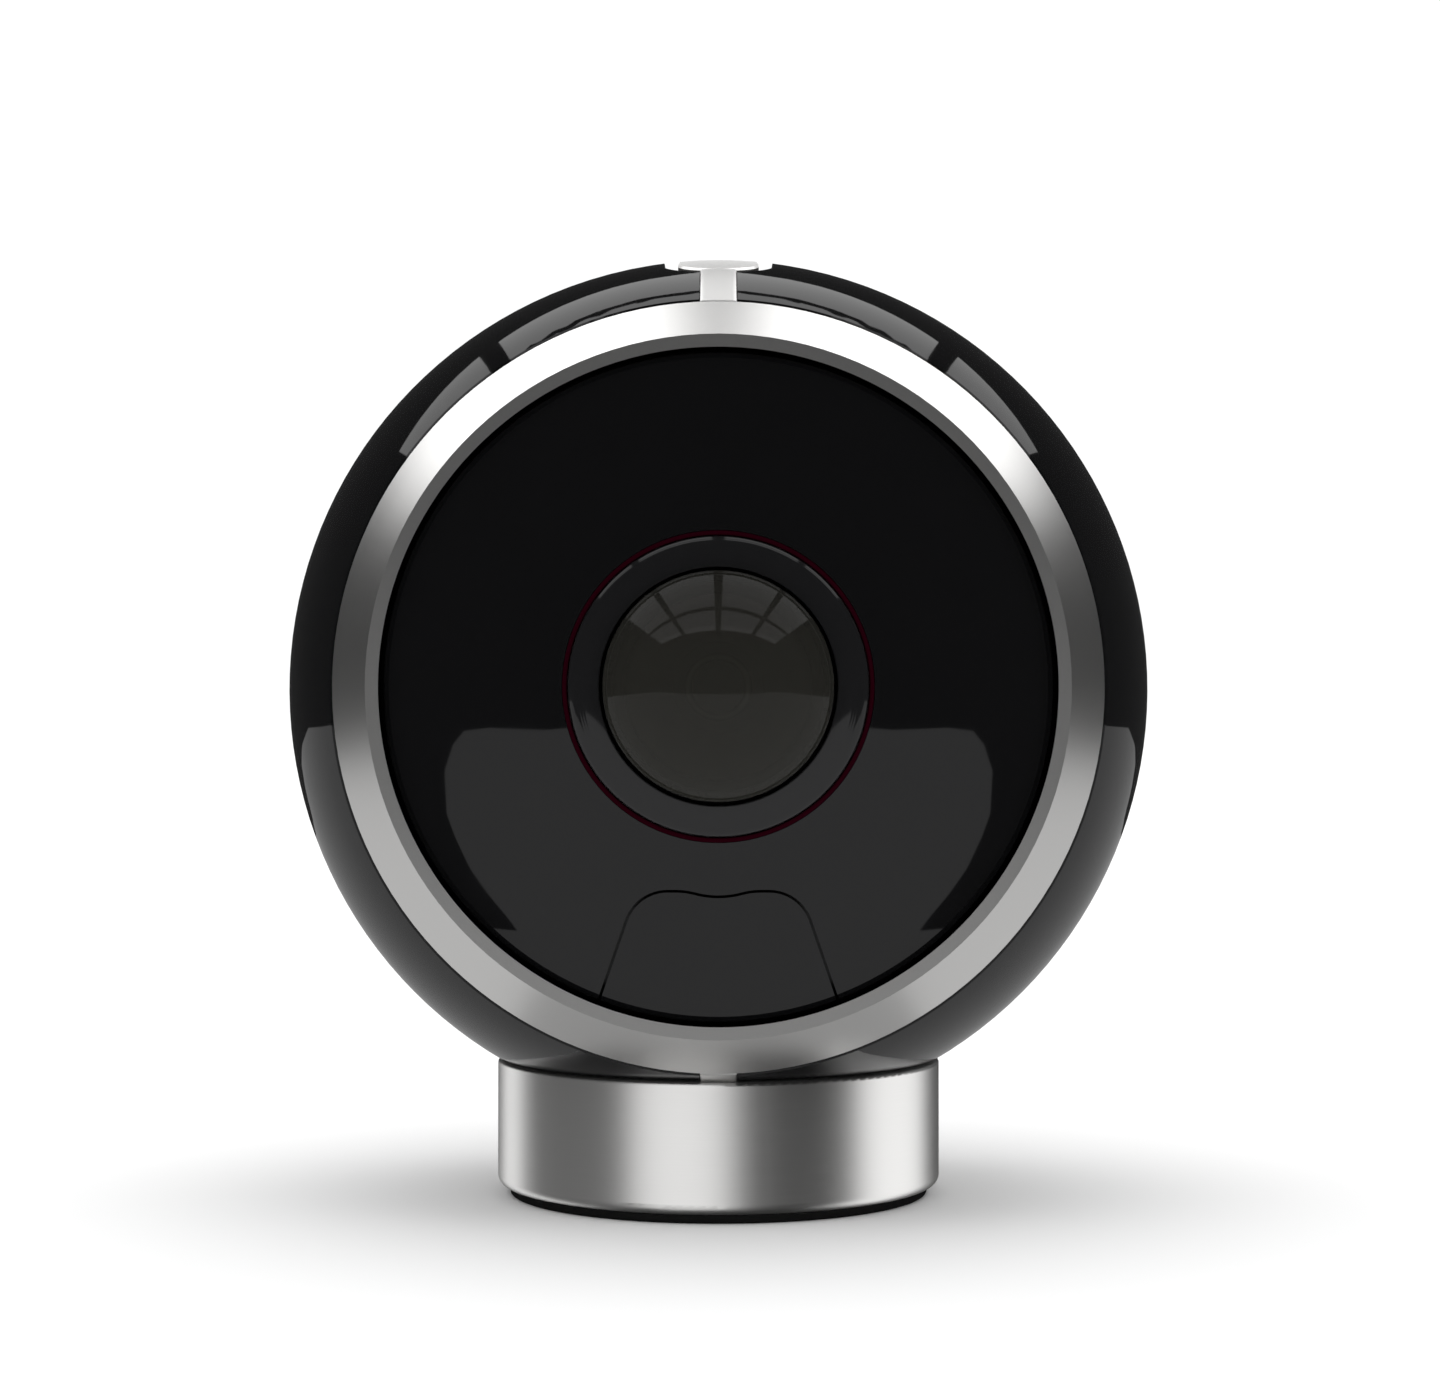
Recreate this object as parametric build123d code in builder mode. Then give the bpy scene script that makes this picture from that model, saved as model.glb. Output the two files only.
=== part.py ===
from build123d import *
import math
import os

# A ball camera on a short round base, in millimetres. +Z is up, the front lens looks along -Y, and the
# origin is the middle of the foot. The ball turns on the base about Z, with a lens on its front and rear.

os.makedirs("parts", exist_ok=True)

# Ball and base
ball_radius = 42.0
shell_wall = 2.0
floor_wall = 2.4
base_radius = 21.7
base_height = 12.2
base_wall = 1.5
base_fillet = 1.0
rim_fillet = 0.3
foot_height = 0.9
foot_inset = 1.2
swivel_gap = 0.3
flat_ratio = 0.5143

# Clearances
fixed_fit = 0.05
running_fit = 0.05
seam_fit = 0.1
free_gap = 0.3

# Metal rings and strips
ring_over_flat = 0.9
ring_depth = 4.95
ring_face = 1.2
ring_skirt = 2.0
ledge_width = 2.0
shadow_groove = 0.25
tongue_height = 0.9
tongue_wall = 0.6
strip_width = 3.4
strip_depth = 1.0
bottom_strip_length = 4.0

# Bezel and its hatch
bezel_gap = 0.4
bezel_drop = 0.95
bezel_rim = 1.5
bezel_wall = 1.8
dome_radius = 81.0
hatch_ratio = 0.273
hatch_half_top = 7.2
hatch_flare = 0.348
hatch_corner = 3.8
dip_half = 2.8
dip_depth = 0.5
dip_round = 6.0
cover_gap = 0.25
cover_wall = 1.2
cover_pocket_gap = 0.3
hatch_block_margin = 1.6
hatch_block_depth = 5.2
peg_radius = 0.8
peg_spread = 5.5
peg_drop = 1.85
peg_guide = 5.0
cover_pull = 6.0

# Lens
glass_radius = 10.2
glass_edge = 1.5
glass_stand = 1.1
glass_bulge = 5.4
glass_wall = 1.7
lens_line = 0.35
collar_wall = 2.85
collar_rise = 1.05
collar_tilt = 0.21
collar_round = 0.8
collar_flange = 2.1
collar_flange_wall = 1.5
accent_wall = 0.4
accent_rise = 0.1
barrel_flange = 2.0
barrel_radius = 12.0
iris_radius = 3.2
inner_lens_radius = 4.5
inner_lens_wall = 2.0
inner_lens_bulge = 1.0
inner_lens_depth = 9.0
sensor_side = 8.0
sensor_height = 0.8
board_wall = 1.2
board_margin = 0.5

# Screws, each with a round head
screw_head_height = 1.2
screw_head_ratio = 1.8
screw_key_ratio = 0.8
lens_screw_radius = 0.8
lens_screw_grip = 7.0
body_screw_radius = 1.2
body_screw_grip = 10.0
spigot_screw_radius = 0.8
spigot_screw_grip = 1.6
board_screw_radius = 0.6
board_screw_grip = 2.0
base_screw_radius = 1.1
base_screw_grip = 1.6

# Chassis and boards
chassis_wall = 4.0
lens_post_length = 8.8
lens_post_radius = 1.8
lens_post_inset = 2.0
leg_radius = 2.6
leg_drop = 1.4
leg_sink = 0.5
chassis_margin = 1.0
standoff_length = 2.0
standoff_radius = 1.5
standoff_inset = 2.5
board_leg_gap = 1.13
board_screw_gap = 0.45
chip_ratio = 0.71
chip_height = 1.0
heat_sink_base = 1.0
heat_sink_fin_height = 3.0
heat_sink_fin = 0.8
heat_sink_fins = 5
heat_sink_width_ratio = 0.467
heat_sink_height_ratio = 0.774
shield_width_ratio = 0.6
shield_height_ratio = 0.645
shield_depth = 2.0

# Top button in its recess
bar_width = 7.7
bar_length = 28.0
bar_corner = 3.3
bar_seam = 0.15
bar_edge = 0.9
bar_chamfer = 0.2
recess_gap = 1.4
press_travel = 0.7
press_spare = 0.6
recess_floor = 2.0
recess_margin = 2.0
stem_radius = 2.0
stem_tail = 0.9
clip_wall = 0.5
clip_play = 0.1
clip_rim = 1.2
clip_bite = 0.5
button_board_width = 12.0
button_board_length = 22.0
button_post_radius = 1.2
button_post_inset = 1.6
switch_side = 4.5
switch_height = 0.9
switch_body_height = 0.5
switch_corner = 0.5
switch_plunger_radius = 1.1
switch_clear = 0.2

# Memory card and its socket
card_width = 11.0
card_length = 15.0
card_height = 1.0
card_web = 0.45
card_sunk = 0.26
card_play = 0.1
card_click = 0.8
card_slot_margin = 0.6
socket_wall = 0.7
socket_wrap = 1.6
port_board_width = 18.0

# Swivel
spigot_radius = 6.0
spigot_bore = 4.2
spigot_flange_radius = 13.0
spigot_flange_wall = 2.0
spigot_screw_circle = 10.0
spigot_tail = 0.7
bush_wall = 1.95
bush_flange = 3.0
bush_flange_wall = 1.5
washer_width = 5.4
washer_height = 0.8
washer_sink = 0.6
circlip_wall = 0.8
circlip_play = 0.2
circlip_bite = 0.6
circlip_rim = 2.0

# Inside the base
base_plate_wall = 1.5
ballast_gap = 0.7
ballast_bore = 9.5
base_screw_circle = 15.5
base_post_radius = 2.2
nut_thread_radius = 2.555
nut_radius = 4.5
nut_flange = 1.5
nut_flange_wall = 1.5
nut_gap = 0.4
nut_sink = 0.1
foot_bore = 5.5
socket_width = 8.94
socket_height = 3.26
socket_depth = 7.35
socket_shell = 0.3
socket_sink = 0.8
tongue_width = 6.7
tongue_thick = 0.7
tongue_length = 4.5
socket_board_width = 13.0
socket_board_sunk = 1.5
port_margin = 0.3

# Heights and places that follow from the sizes above
flat_radius = ball_radius * flat_ratio
flat_drop = math.sqrt(ball_radius**2 - flat_radius**2)
base_top = foot_height + base_height
flat_z = base_top + swivel_gap
ball_z = flat_z + flat_drop
ball_middle = (0, 0, ball_z)

ring_back = flat_radius + ring_over_flat
ring_front = ring_back + ring_depth


def on_ball(out):
    """The ball's radius at a distance out along the lens axis."""
    return math.sqrt(ball_radius**2 - out**2)


ring_front_radius = on_ball(ring_front)
ring_bore = ring_front_radius - ring_face
bezel_radius = ring_bore - bezel_gap
ledge_bore = ring_bore - ledge_width
bezel_edge = ring_front - bezel_drop
ledge = bezel_edge - bezel_rim
skirt_radius = math.sqrt((ball_radius - shell_wall) ** 2 - ring_back**2) - seam_fit
skirt_end = ring_back - ring_skirt
tongue_middle = (on_ball(ring_back) + skirt_radius) / 2
dome_middle = bezel_edge - math.sqrt(dome_radius**2 - bezel_radius**2)


def dome(radius, inset=0.0):
    """The bezel dome's distance out at a radius, or that of a surface lying inset below it."""
    return dome_middle + math.sqrt((dome_radius - inset) ** 2 - radius**2)


collar_bore = glass_radius + lens_line
collar_radius = collar_bore + collar_wall
accent_radius = collar_radius + fixed_fit + accent_wall
lens_hole = accent_radius + fixed_fit
hatch_below = lens_hole + (bezel_radius - lens_hole) * hatch_ratio
peg_below = hatch_below + peg_drop
card_slot_half = card_height / 2 + card_slot_margin
card_below = peg_below + peg_radius + running_fit + card_web + card_slot_half
collar_front = dome(lens_hole) + collar_rise
collar_edge = collar_front - collar_wall * collar_tilt
collar_flange_radius = collar_radius + collar_flange
collar_flange_top = dome(collar_flange_radius, bezel_wall) - free_gap
barrel_shoulder = collar_flange_top - collar_flange_wall
glass_seat = collar_front - glass_edge + free_gap
board_back = chassis_wall / 2 + lens_post_length
barrel_back = board_back + board_wall
barrel_flange_top = barrel_back + barrel_flange
inner_seat = glass_seat - inner_lens_depth
board_side = 2 * (barrel_radius + board_margin)
lens_post_spread = board_side - 2 * lens_post_inset
leg_circle = ledge_bore - leg_radius + leg_sink
leg_top = ledge - leg_drop

bar_bottom = ball_z + on_ball(bar_length / 2) - bar_edge
recess_z = bar_bottom - press_travel - press_spare
recess_half = bar_length / 2 + recess_gap
boss_bottom = recess_z - recess_floor
clip_top = boss_bottom - clip_play
stem_end = clip_top - clip_wall - stem_tail
button_board_top = stem_end - press_travel - switch_clear - switch_height
floor_top = flat_z + floor_wall

faces = {
    "front": Plane(origin=ball_middle, x_dir=(1, 0, 0), z_dir=(0, -1, 0)),
    "rear": Plane(origin=ball_middle, x_dir=(-1, 0, 0), z_dir=(0, 1, 0)),
}
front_face = faces["front"]
rear_face = faces["rear"]


def section(face):
    """The half section of a lens side: x is the radius, y the distance out from the ball's middle."""
    return Plane(origin=face.origin, x_dir=face.x_dir, z_dir=-face.y_dir)


def lens_axis(face):
    return Axis(face.origin, face.z_dir)


def save(part, name):
    part.label = name
    export_step(part, f"parts/{name}.step")


def screw(plane, places, radius, grip):
    """Round headed screws at places on the plane: the head stands on it and the shank runs back from it."""
    with BuildPart() as made:
        with BuildSketch(plane):
            with Locations(*places):
                Circle(radius)
        extrude(amount=-grip)
        with BuildSketch(plane):
            with Locations(*places):
                Circle(radius * screw_head_ratio)
        extrude(amount=screw_head_height)
        with BuildSketch(plane.offset(screw_head_height)):
            with Locations(*places):
                RegularPolygon(radius * screw_key_ratio, 6)
        extrude(amount=-screw_head_height / 2, mode=Mode.SUBTRACT)
    return made.part


def ball_blank(inset):
    """The ball's outer form, cut flat beneath, all of it moved in by an inset."""
    with BuildPart() as blank:
        with Locations(ball_middle):
            Sphere(ball_radius - inset)
        split(bisect_by=Plane.XY.offset(flat_z + inset), keep=Keep.TOP)
    return blank.part


def hatch_outline(grow):
    """The port cover's outline in the bezel: a rounded trapezoid with a dip for a fingernail."""
    foot = ball_radius
    flare = (foot - hatch_below) * hatch_flare
    dip_radius = (dip_half**2 + dip_depth**2) / (2 * dip_depth)
    with BuildSketch(front_face) as outline:
        with BuildLine():
            Polyline(
                (-hatch_half_top, -hatch_below),
                (hatch_half_top, -hatch_below),
                (hatch_half_top + flare, -foot),
                (-hatch_half_top - flare, -foot),
                close=True,
            )
        make_face()
        fillet(outline.vertices().group_by(Axis.Y)[-1], hatch_corner)
        with Locations((0, -hatch_below - dip_depth + dip_radius)):
            Circle(dip_radius, mode=Mode.SUBTRACT)
        ends = outline.vertices().filter_by(lambda corner: abs(abs(corner.X) - dip_half) < 0.001)
        fillet(ends, dip_round)
        if grow:
            offset(amount=grow, kind=Kind.INTERSECTION)
    return outline.sketch


ball_outside = ball_blank(0)
strip_under = ball_blank(strip_depth)
strip_bed_under = ball_blank(strip_depth + fixed_fit)
strip_places = (
    ("top", Align.MIN, bar_length / 2 + bar_seam),
    ("bottom", Align.MAX, ring_back - bottom_strip_length),
)

# Metal strips, set flush in the shells over their seam
for side, face in faces.items():
    for place, reach, start in strip_places:
        with BuildPart() as strip:
            add(ball_outside)
            add(strip_under, mode=Mode.SUBTRACT)
            with BuildSketch(face.offset(start)):
                Rectangle(strip_width, ball_radius, align=(Align.CENTER, reach))
            extrude(amount=ring_back - start, mode=Mode.INTERSECT)
        save(strip.part, f"{side}_{place}_strip")

with BuildPart() as strip_slots:
    for face in faces.values():
        for place, reach, start in strip_places:
            with BuildSketch(face.offset(start)):
                Rectangle(strip_width + 2 * fixed_fit, ball_radius, align=(Align.CENTER, reach))
            extrude(amount=ring_back - start)

with BuildPart() as strip_beds:
    add(ball_outside)
    add(strip_bed_under, mode=Mode.SUBTRACT)
    add(strip_slots.part, mode=Mode.INTERSECT)

# The hollow of the ball, with the boss under the bar and the posts of the button board left standing
button_post_places = GridLocations(
    button_board_width - 2 * button_post_inset,
    button_board_length - 2 * button_post_inset,
    2,
    2,
)
button_posts = [(spot.position.X, spot.position.Y) for spot in button_post_places]
spigot_screw_places = [
    (spigot_screw_circle * math.cos(math.radians(turn)), spigot_screw_circle * math.sin(math.radians(turn)))
    for turn in (45, 135, 225, 315)
]

with BuildPart() as hollow:
    with Locations(ball_middle):
        Sphere(ball_radius - shell_wall)
    split(bisect_by=Plane.XY.offset(floor_top), keep=Keep.TOP)
    with BuildSketch(Plane.XY.offset(boss_bottom)):
        RectangleRounded(
            bar_width + 2 * (recess_gap + recess_margin),
            2 * (recess_half + recess_margin),
            bar_corner + recess_gap,
        )
    extrude(amount=ball_radius, mode=Mode.SUBTRACT)
    with BuildSketch(Plane.XY.offset(button_board_top)):
        with Locations(*button_posts):
            Circle(button_post_radius)
    extrude(amount=ball_radius, mode=Mode.SUBTRACT)

# Shells: one ball between the rings, parted down its middle into a left and a right half
with BuildPart() as shell:
    add(ball_outside)
    for face in faces.values():
        split(bisect_by=face.offset(ring_back), keep=Keep.BOTTOM)
    rims = shell.edges().filter_by(GeomType.CIRCLE)
    chamfer(rims.filter_by(lambda edge: abs(edge.radius - on_ball(ring_back)) < 0.001), shadow_groove)
    add(hollow.part, mode=Mode.SUBTRACT)
    for face in faces.values():
        with BuildSketch(face.offset(ring_back)):
            Circle(tongue_middle + tongue_wall / 2)
            Circle(tongue_middle - tongue_wall / 2, mode=Mode.SUBTRACT)
        extrude(amount=tongue_height)
    add(strip_beds.part, mode=Mode.SUBTRACT)
    with BuildSketch(Plane.XY.offset(recess_z)):
        RectangleRounded(bar_width + 2 * recess_gap, 2 * recess_half, bar_corner + recess_gap)
    extrude(amount=ball_radius, mode=Mode.SUBTRACT)
    with BuildSketch(Plane.XY.offset(boss_bottom)):
        Circle(stem_radius + running_fit)
    extrude(amount=recess_floor, mode=Mode.SUBTRACT)
    with BuildSketch(Plane.XY.offset(button_board_top)):
        with Locations(*button_posts):
            Circle(board_screw_radius + fixed_fit)
    extrude(amount=board_screw_grip, mode=Mode.SUBTRACT)
    with BuildSketch(Plane.XY.offset(flat_z)):
        Circle(spigot_radius + seam_fit)
    extrude(amount=floor_wall, mode=Mode.SUBTRACT)
    with BuildSketch(Plane.XY.offset(floor_top)):
        with Locations(*spigot_screw_places):
            Circle(spigot_screw_radius + fixed_fit)
    extrude(amount=-spigot_screw_grip - fixed_fit, mode=Mode.SUBTRACT)

for name, kept in (("left_shell", Keep.BOTTOM), ("right_shell", Keep.TOP)):
    with BuildPart() as half:
        add(shell.part)
        split(bisect_by=Plane.YZ, keep=kept)
    save(half.part, name)

# Top button: the bar, its stem and the clip that keeps it in
with BuildPart() as top_button:
    add(ball_outside)
    with BuildSketch(Plane.XY.offset(bar_bottom)):
        RectangleRounded(bar_width, bar_length, bar_corner)
    extrude(amount=ball_radius, mode=Mode.INTERSECT)
    chamfer(top_button.faces().filter_by(GeomType.SPHERE).edges(), bar_chamfer)
    with BuildSketch(Plane.XY.offset(stem_end)):
        Circle(stem_radius)
    extrude(amount=bar_bottom - stem_end)
    with BuildSketch(Plane.XY.offset(clip_top)):
        Circle(stem_radius)
        Circle(stem_radius - clip_bite, mode=Mode.SUBTRACT)
    extrude(amount=-clip_wall, mode=Mode.SUBTRACT)
save(top_button.part, "top_button")

with BuildPart() as button_clip:
    with BuildSketch(Plane.XY.offset(clip_top - fixed_fit)):
        Circle(stem_radius + clip_rim)
        Circle(stem_radius - clip_bite + fixed_fit, mode=Mode.SUBTRACT)
        Rectangle(
            2 * (stem_radius - clip_bite),
            2 * stem_radius + clip_rim,
            align=(Align.CENTER, Align.MIN),
            mode=Mode.SUBTRACT,
        )
    extrude(amount=-clip_wall + 2 * fixed_fit)
save(button_clip.part, "button_clip")

with BuildPart() as button_board:
    with BuildSketch(Plane.XY.offset(button_board_top)):
        RectangleRounded(button_board_width, button_board_length, button_post_inset)
        with Locations(*button_posts):
            Circle(board_screw_radius + fixed_fit, mode=Mode.SUBTRACT)
    extrude(amount=-board_wall)
save(button_board.part, "button_board")

with BuildPart() as button_switch:
    with BuildSketch(Plane.XY.offset(button_board_top)):
        RectangleRounded(switch_side, switch_side, switch_corner)
    extrude(amount=switch_body_height)
    with BuildSketch(Plane.XY.offset(button_board_top)):
        Circle(switch_plunger_radius)
    extrude(amount=switch_height)
save(button_switch.part, "button_switch")

board_under = Plane(origin=(0, 0, button_board_top - board_wall), x_dir=(1, 0, 0), z_dir=(0, 0, -1))
board_screw_length = board_wall + board_screw_grip - fixed_fit
save(screw(board_under, button_posts, board_screw_radius, board_screw_length), "board_screws")

# Rings, bezels and lenses, alike on both sides
lens_post_grid = GridLocations(lens_post_spread, lens_post_spread, 2, 2)
lens_post_places = [(spot.position.X, spot.position.Y) for spot in lens_post_grid]
leg_places = [
    (leg_circle * math.cos(math.radians(turn)), leg_circle * math.sin(math.radians(turn)))
    for turn in (45, 135, 225, 315)
]
ring_middle = (ring_back + ring_front) / 2

for side, face in faces.items():
    axis = lens_axis(face)

    with BuildPart() as ring:
        with BuildSketch(section(face)):
            with BuildLine():
                Polyline(
                    (ring_front_radius, ring_front),
                    (ring_bore, ring_front),
                    (ring_bore, ledge),
                    (ledge_bore, ledge),
                    (ledge_bore, skirt_end),
                    (skirt_radius, skirt_end),
                    (skirt_radius, ring_back),
                    (on_ball(ring_back), ring_back),
                )
                ThreePointArc(
                    (on_ball(ring_back), ring_back),
                    (on_ball(ring_middle), ring_middle),
                    (ring_front_radius, ring_front),
                )
            make_face()
        revolve(axis=axis)
        rims = ring.edges().filter_by(GeomType.CIRCLE)
        chamfer(rims.filter_by(lambda edge: abs(edge.radius - on_ball(ring_back)) < 0.001), shadow_groove)
        with BuildSketch(face.offset(ring_back)):
            Circle(tongue_middle + tongue_wall / 2 + seam_fit)
            Circle(tongue_middle - tongue_wall / 2 - seam_fit, mode=Mode.SUBTRACT)
        extrude(amount=tongue_height + seam_fit, mode=Mode.SUBTRACT)
        with BuildSketch(face.offset(chassis_wall / 2)):
            with Locations(*leg_places):
                Circle(leg_radius)
        extrude(amount=leg_top - chassis_wall / 2)
        with BuildSketch(face.offset(chassis_wall / 2)):
            with Locations(*leg_places):
                Circle(body_screw_radius + fixed_fit)
        hole_depth = leg_top if side == "rear" else body_screw_grip + fixed_fit
        extrude(amount=hole_depth, mode=Mode.SUBTRACT)
        if side == "rear":
            with BuildSketch(face.offset(leg_top)):
                with Locations(*leg_places):
                    Circle(body_screw_radius * screw_head_ratio + seam_fit)
            extrude(amount=ring_depth, mode=Mode.SUBTRACT)
    save(ring.part, f"{side}_ring")

    with BuildPart() as bezel:
        with BuildSketch(section(face)):
            land = ledge_bore + seam_fit
            middle = (lens_hole + bezel_radius) / 2
            under_middle = (lens_hole + land) / 2
            with BuildLine():
                ThreePointArc(
                    (lens_hole, dome(lens_hole)),
                    (middle, dome(middle)),
                    (bezel_radius, bezel_edge),
                )
                Polyline(
                    (bezel_radius, bezel_edge),
                    (bezel_radius, ledge),
                    (land, ledge),
                    (land, dome(land, bezel_wall)),
                )
                ThreePointArc(
                    (land, dome(land, bezel_wall)),
                    (under_middle, dome(under_middle, bezel_wall)),
                    (lens_hole, dome(lens_hole, bezel_wall)),
                )
                Line((lens_hole, dome(lens_hole, bezel_wall)), (lens_hole, dome(lens_hole)))
            make_face()
        revolve(axis=axis)
    if side == "rear":
        save(bezel.part, "rear_bezel")
    else:
        front_bezel_blank = bezel.part

    with BuildPart() as accent_ring:
        with BuildSketch(face.offset(collar_flange_top)):
            Circle(accent_radius)
            Circle(collar_radius + fixed_fit, mode=Mode.SUBTRACT)
        extrude(amount=dome(lens_hole) + accent_rise - collar_flange_top)
    save(accent_ring.part, f"{side}_accent_ring")

    with BuildPart() as collar:
        with BuildSketch(face.offset(barrel_shoulder)):
            Circle(collar_flange_radius)
        extrude(amount=collar_flange_wall)
        with BuildSketch(section(face)):
            with BuildLine():
                Polyline(
                    (0, barrel_shoulder),
                    (collar_radius, barrel_shoulder),
                    (collar_radius, collar_edge),
                    (collar_bore, collar_front),
                    (0, collar_front),
                    close=True,
                )
            make_face()
        revolve(axis=axis)
        fillet(collar.edges().filter_by(GeomType.CIRCLE).sort_by(axis)[-2], collar_round)
        with BuildSketch(face.offset(barrel_shoulder)):
            Circle(collar_bore)
        extrude(amount=collar_front - barrel_shoulder, mode=Mode.SUBTRACT)
    save(collar.part, f"{side}_lens_collar")

    with BuildPart() as barrel:
        with BuildSketch(face.offset(barrel_back)):
            RectangleRounded(board_side, board_side, lens_post_inset)
        extrude(amount=barrel_flange)
        with BuildSketch(face.offset(barrel_back)):
            Circle(barrel_radius)
        extrude(amount=barrel_shoulder - barrel_back)
        with BuildSketch(face.offset(barrel_back)):
            Circle(glass_radius)
        extrude(amount=glass_seat - barrel_back)
        with BuildSketch(section(face)):
            with BuildLine():
                Polyline(
                    (0, barrel_back),
                    (iris_radius, barrel_back),
                    (iris_radius, inner_seat),
                    (inner_lens_radius + fixed_fit, inner_seat),
                    (inner_lens_radius + fixed_fit, inner_seat + inner_lens_wall),
                    (glass_radius - glass_wall, glass_seat),
                    (0, glass_seat),
                    close=True,
                )
            make_face()
        revolve(axis=axis, mode=Mode.SUBTRACT)
        with BuildSketch(face.offset(barrel_back)):
            Rectangle(sensor_side + 2 * free_gap, sensor_side + 2 * free_gap)
        extrude(amount=sensor_height + free_gap, mode=Mode.SUBTRACT)
        with BuildSketch(face.offset(barrel_back)):
            with Locations(*lens_post_places):
                Circle(lens_screw_radius + fixed_fit)
        extrude(amount=barrel_flange, mode=Mode.SUBTRACT)
    save(barrel.part, f"{side}_lens_barrel")

    with BuildPart() as glass:
        rim = glass_seat + glass_edge + glass_stand
        hollow_radius = glass_radius - glass_wall
        hollow_bulge = glass_edge + glass_stand + glass_bulge - glass_wall
        bulge_radius = (glass_radius**2 + glass_bulge**2) / (2 * glass_bulge)
        hollow_curve = (hollow_radius**2 + hollow_bulge**2) / (2 * hollow_bulge)
        with BuildSketch(section(face)):
            with BuildLine():
                Polyline((hollow_radius, glass_seat), (glass_radius, glass_seat), (glass_radius, rim))
                RadiusArc((glass_radius, rim), (0, rim + glass_bulge), -bulge_radius)
                Line((0, rim + glass_bulge), (0, glass_seat + hollow_bulge))
                RadiusArc((0, glass_seat + hollow_bulge), (hollow_radius, glass_seat), hollow_curve)
            make_face()
        revolve(axis=axis)
    save(glass.part, f"{side}_dome_glass")

    with BuildPart() as inner_lens:
        crown = inner_seat + inner_lens_wall
        with BuildSketch(section(face)):
            with BuildLine():
                Polyline(
                    (0, crown),
                    (0, inner_seat),
                    (inner_lens_radius, inner_seat),
                    (inner_lens_radius, crown),
                )
                crown_radius = (inner_lens_radius**2 + inner_lens_bulge**2) / (2 * inner_lens_bulge)
                RadiusArc((inner_lens_radius, crown), (0, crown + inner_lens_bulge), -crown_radius)
                Line((0, crown + inner_lens_bulge), (0, crown))
            make_face()
        revolve(axis=axis)
    save(inner_lens.part, f"{side}_inner_lens")

    with BuildPart() as sensor_board:
        with BuildSketch(face.offset(board_back)):
            RectangleRounded(board_side, board_side, lens_post_inset)
            with Locations(*lens_post_places):
                Circle(lens_screw_radius + fixed_fit, mode=Mode.SUBTRACT)
        extrude(amount=board_wall)
    save(sensor_board.part, f"{side}_sensor_board")

    with BuildPart() as image_sensor:
        with BuildSketch(face.offset(barrel_back)):
            Rectangle(sensor_side, sensor_side)
        extrude(amount=sensor_height)
    save(image_sensor.part, f"{side}_image_sensor")

    lens_screws = screw(
        face.offset(barrel_flange_top),
        lens_post_places,
        lens_screw_radius,
        barrel_flange + board_wall + lens_screw_grip,
    )
    save(lens_screws, f"{side}_lens_screws")

# Port cover and the block behind the front bezel that its pegs slide in
block_back = bezel_edge - hatch_block_depth + cover_wall
peg_places = [(-peg_spread, -peg_below), (peg_spread, -peg_below)]
peg_out = math.hypot(peg_spread, peg_below)
dome_place = (0, -dome_middle, ball_z)

with BuildPart() as hatch_pocket:
    extrude(hatch_outline(cover_gap), amount=2 * ball_radius)
    with Locations(dome_place):
        Sphere(dome_radius - cover_wall - cover_pocket_gap, mode=Mode.SUBTRACT)

with BuildPart() as hatch_block:
    extrude(hatch_outline(hatch_block_margin), amount=ball_radius)
    with BuildSketch(front_face.offset(block_back)):
        Circle(ledge_bore - seam_fit)
    extrude(amount=ball_radius, mode=Mode.INTERSECT)
    with Locations(dome_place):
        Sphere(dome_radius - bezel_wall / 2, mode=Mode.INTERSECT)

with BuildPart() as front_bezel:
    add(front_bezel_blank)
    add(hatch_block.part)
    add(hatch_pocket.part, mode=Mode.SUBTRACT)
    with BuildSketch(front_face):
        with Locations(*peg_places):
            Circle(peg_radius + running_fit)
        with Locations((0, -card_below)):
            Rectangle(card_width + 2 * card_slot_margin, 2 * card_slot_half)
    extrude(amount=ball_radius, mode=Mode.SUBTRACT)
save(front_bezel.part, "front_bezel")

with BuildPart() as port_cover:
    extrude(hatch_outline(0), amount=ball_radius)
    with Locations(dome_place):
        Sphere(dome_radius, mode=Mode.INTERSECT)
        Sphere(dome_radius - cover_wall, mode=Mode.SUBTRACT)
    with BuildSketch(front_face):
        Circle(bezel_radius)
    extrude(amount=ball_radius, mode=Mode.INTERSECT)
    peg_root = dome(peg_out, cover_wall / 2)
    with BuildSketch(front_face.offset(peg_root)):
        with Locations(*peg_places):
            Circle(peg_radius)
    extrude(amount=-cover_pull - peg_guide)
save(port_cover.part, "port_cover")

# Memory card, its socket and the board that carries both
card_front = dome(card_below, cover_wall + cover_pocket_gap) - card_sunk
card_back = card_front - card_length
socket_front = block_back - free_gap
socket_back = card_back - card_click - free_gap - socket_wall
socket_half = card_height / 2 + card_play + socket_wall
port_board_top = -card_below - socket_half

with BuildPart() as memory_card:
    with BuildSketch(front_face.offset(card_back)):
        with Locations((0, -card_below)):
            Rectangle(card_width, card_height)
    extrude(amount=card_length)
    fillet(memory_card.edges().filter_by(Axis.Z), card_height)
save(memory_card.part, "memory_card")

with BuildPart() as card_socket:
    with BuildSketch(front_face.offset(socket_back)):
        with Locations((0, -card_below)):
            Rectangle(card_width + 2 * socket_wrap, 2 * socket_half)
    extrude(amount=socket_front - socket_back)
    with BuildSketch(front_face.offset(socket_back + socket_wall)):
        with Locations((0, -card_below)):
            Rectangle(card_width + 2 * card_play, card_height + 2 * card_play)
    extrude(amount=socket_front, mode=Mode.SUBTRACT)
save(card_socket.part, "card_socket")

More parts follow.
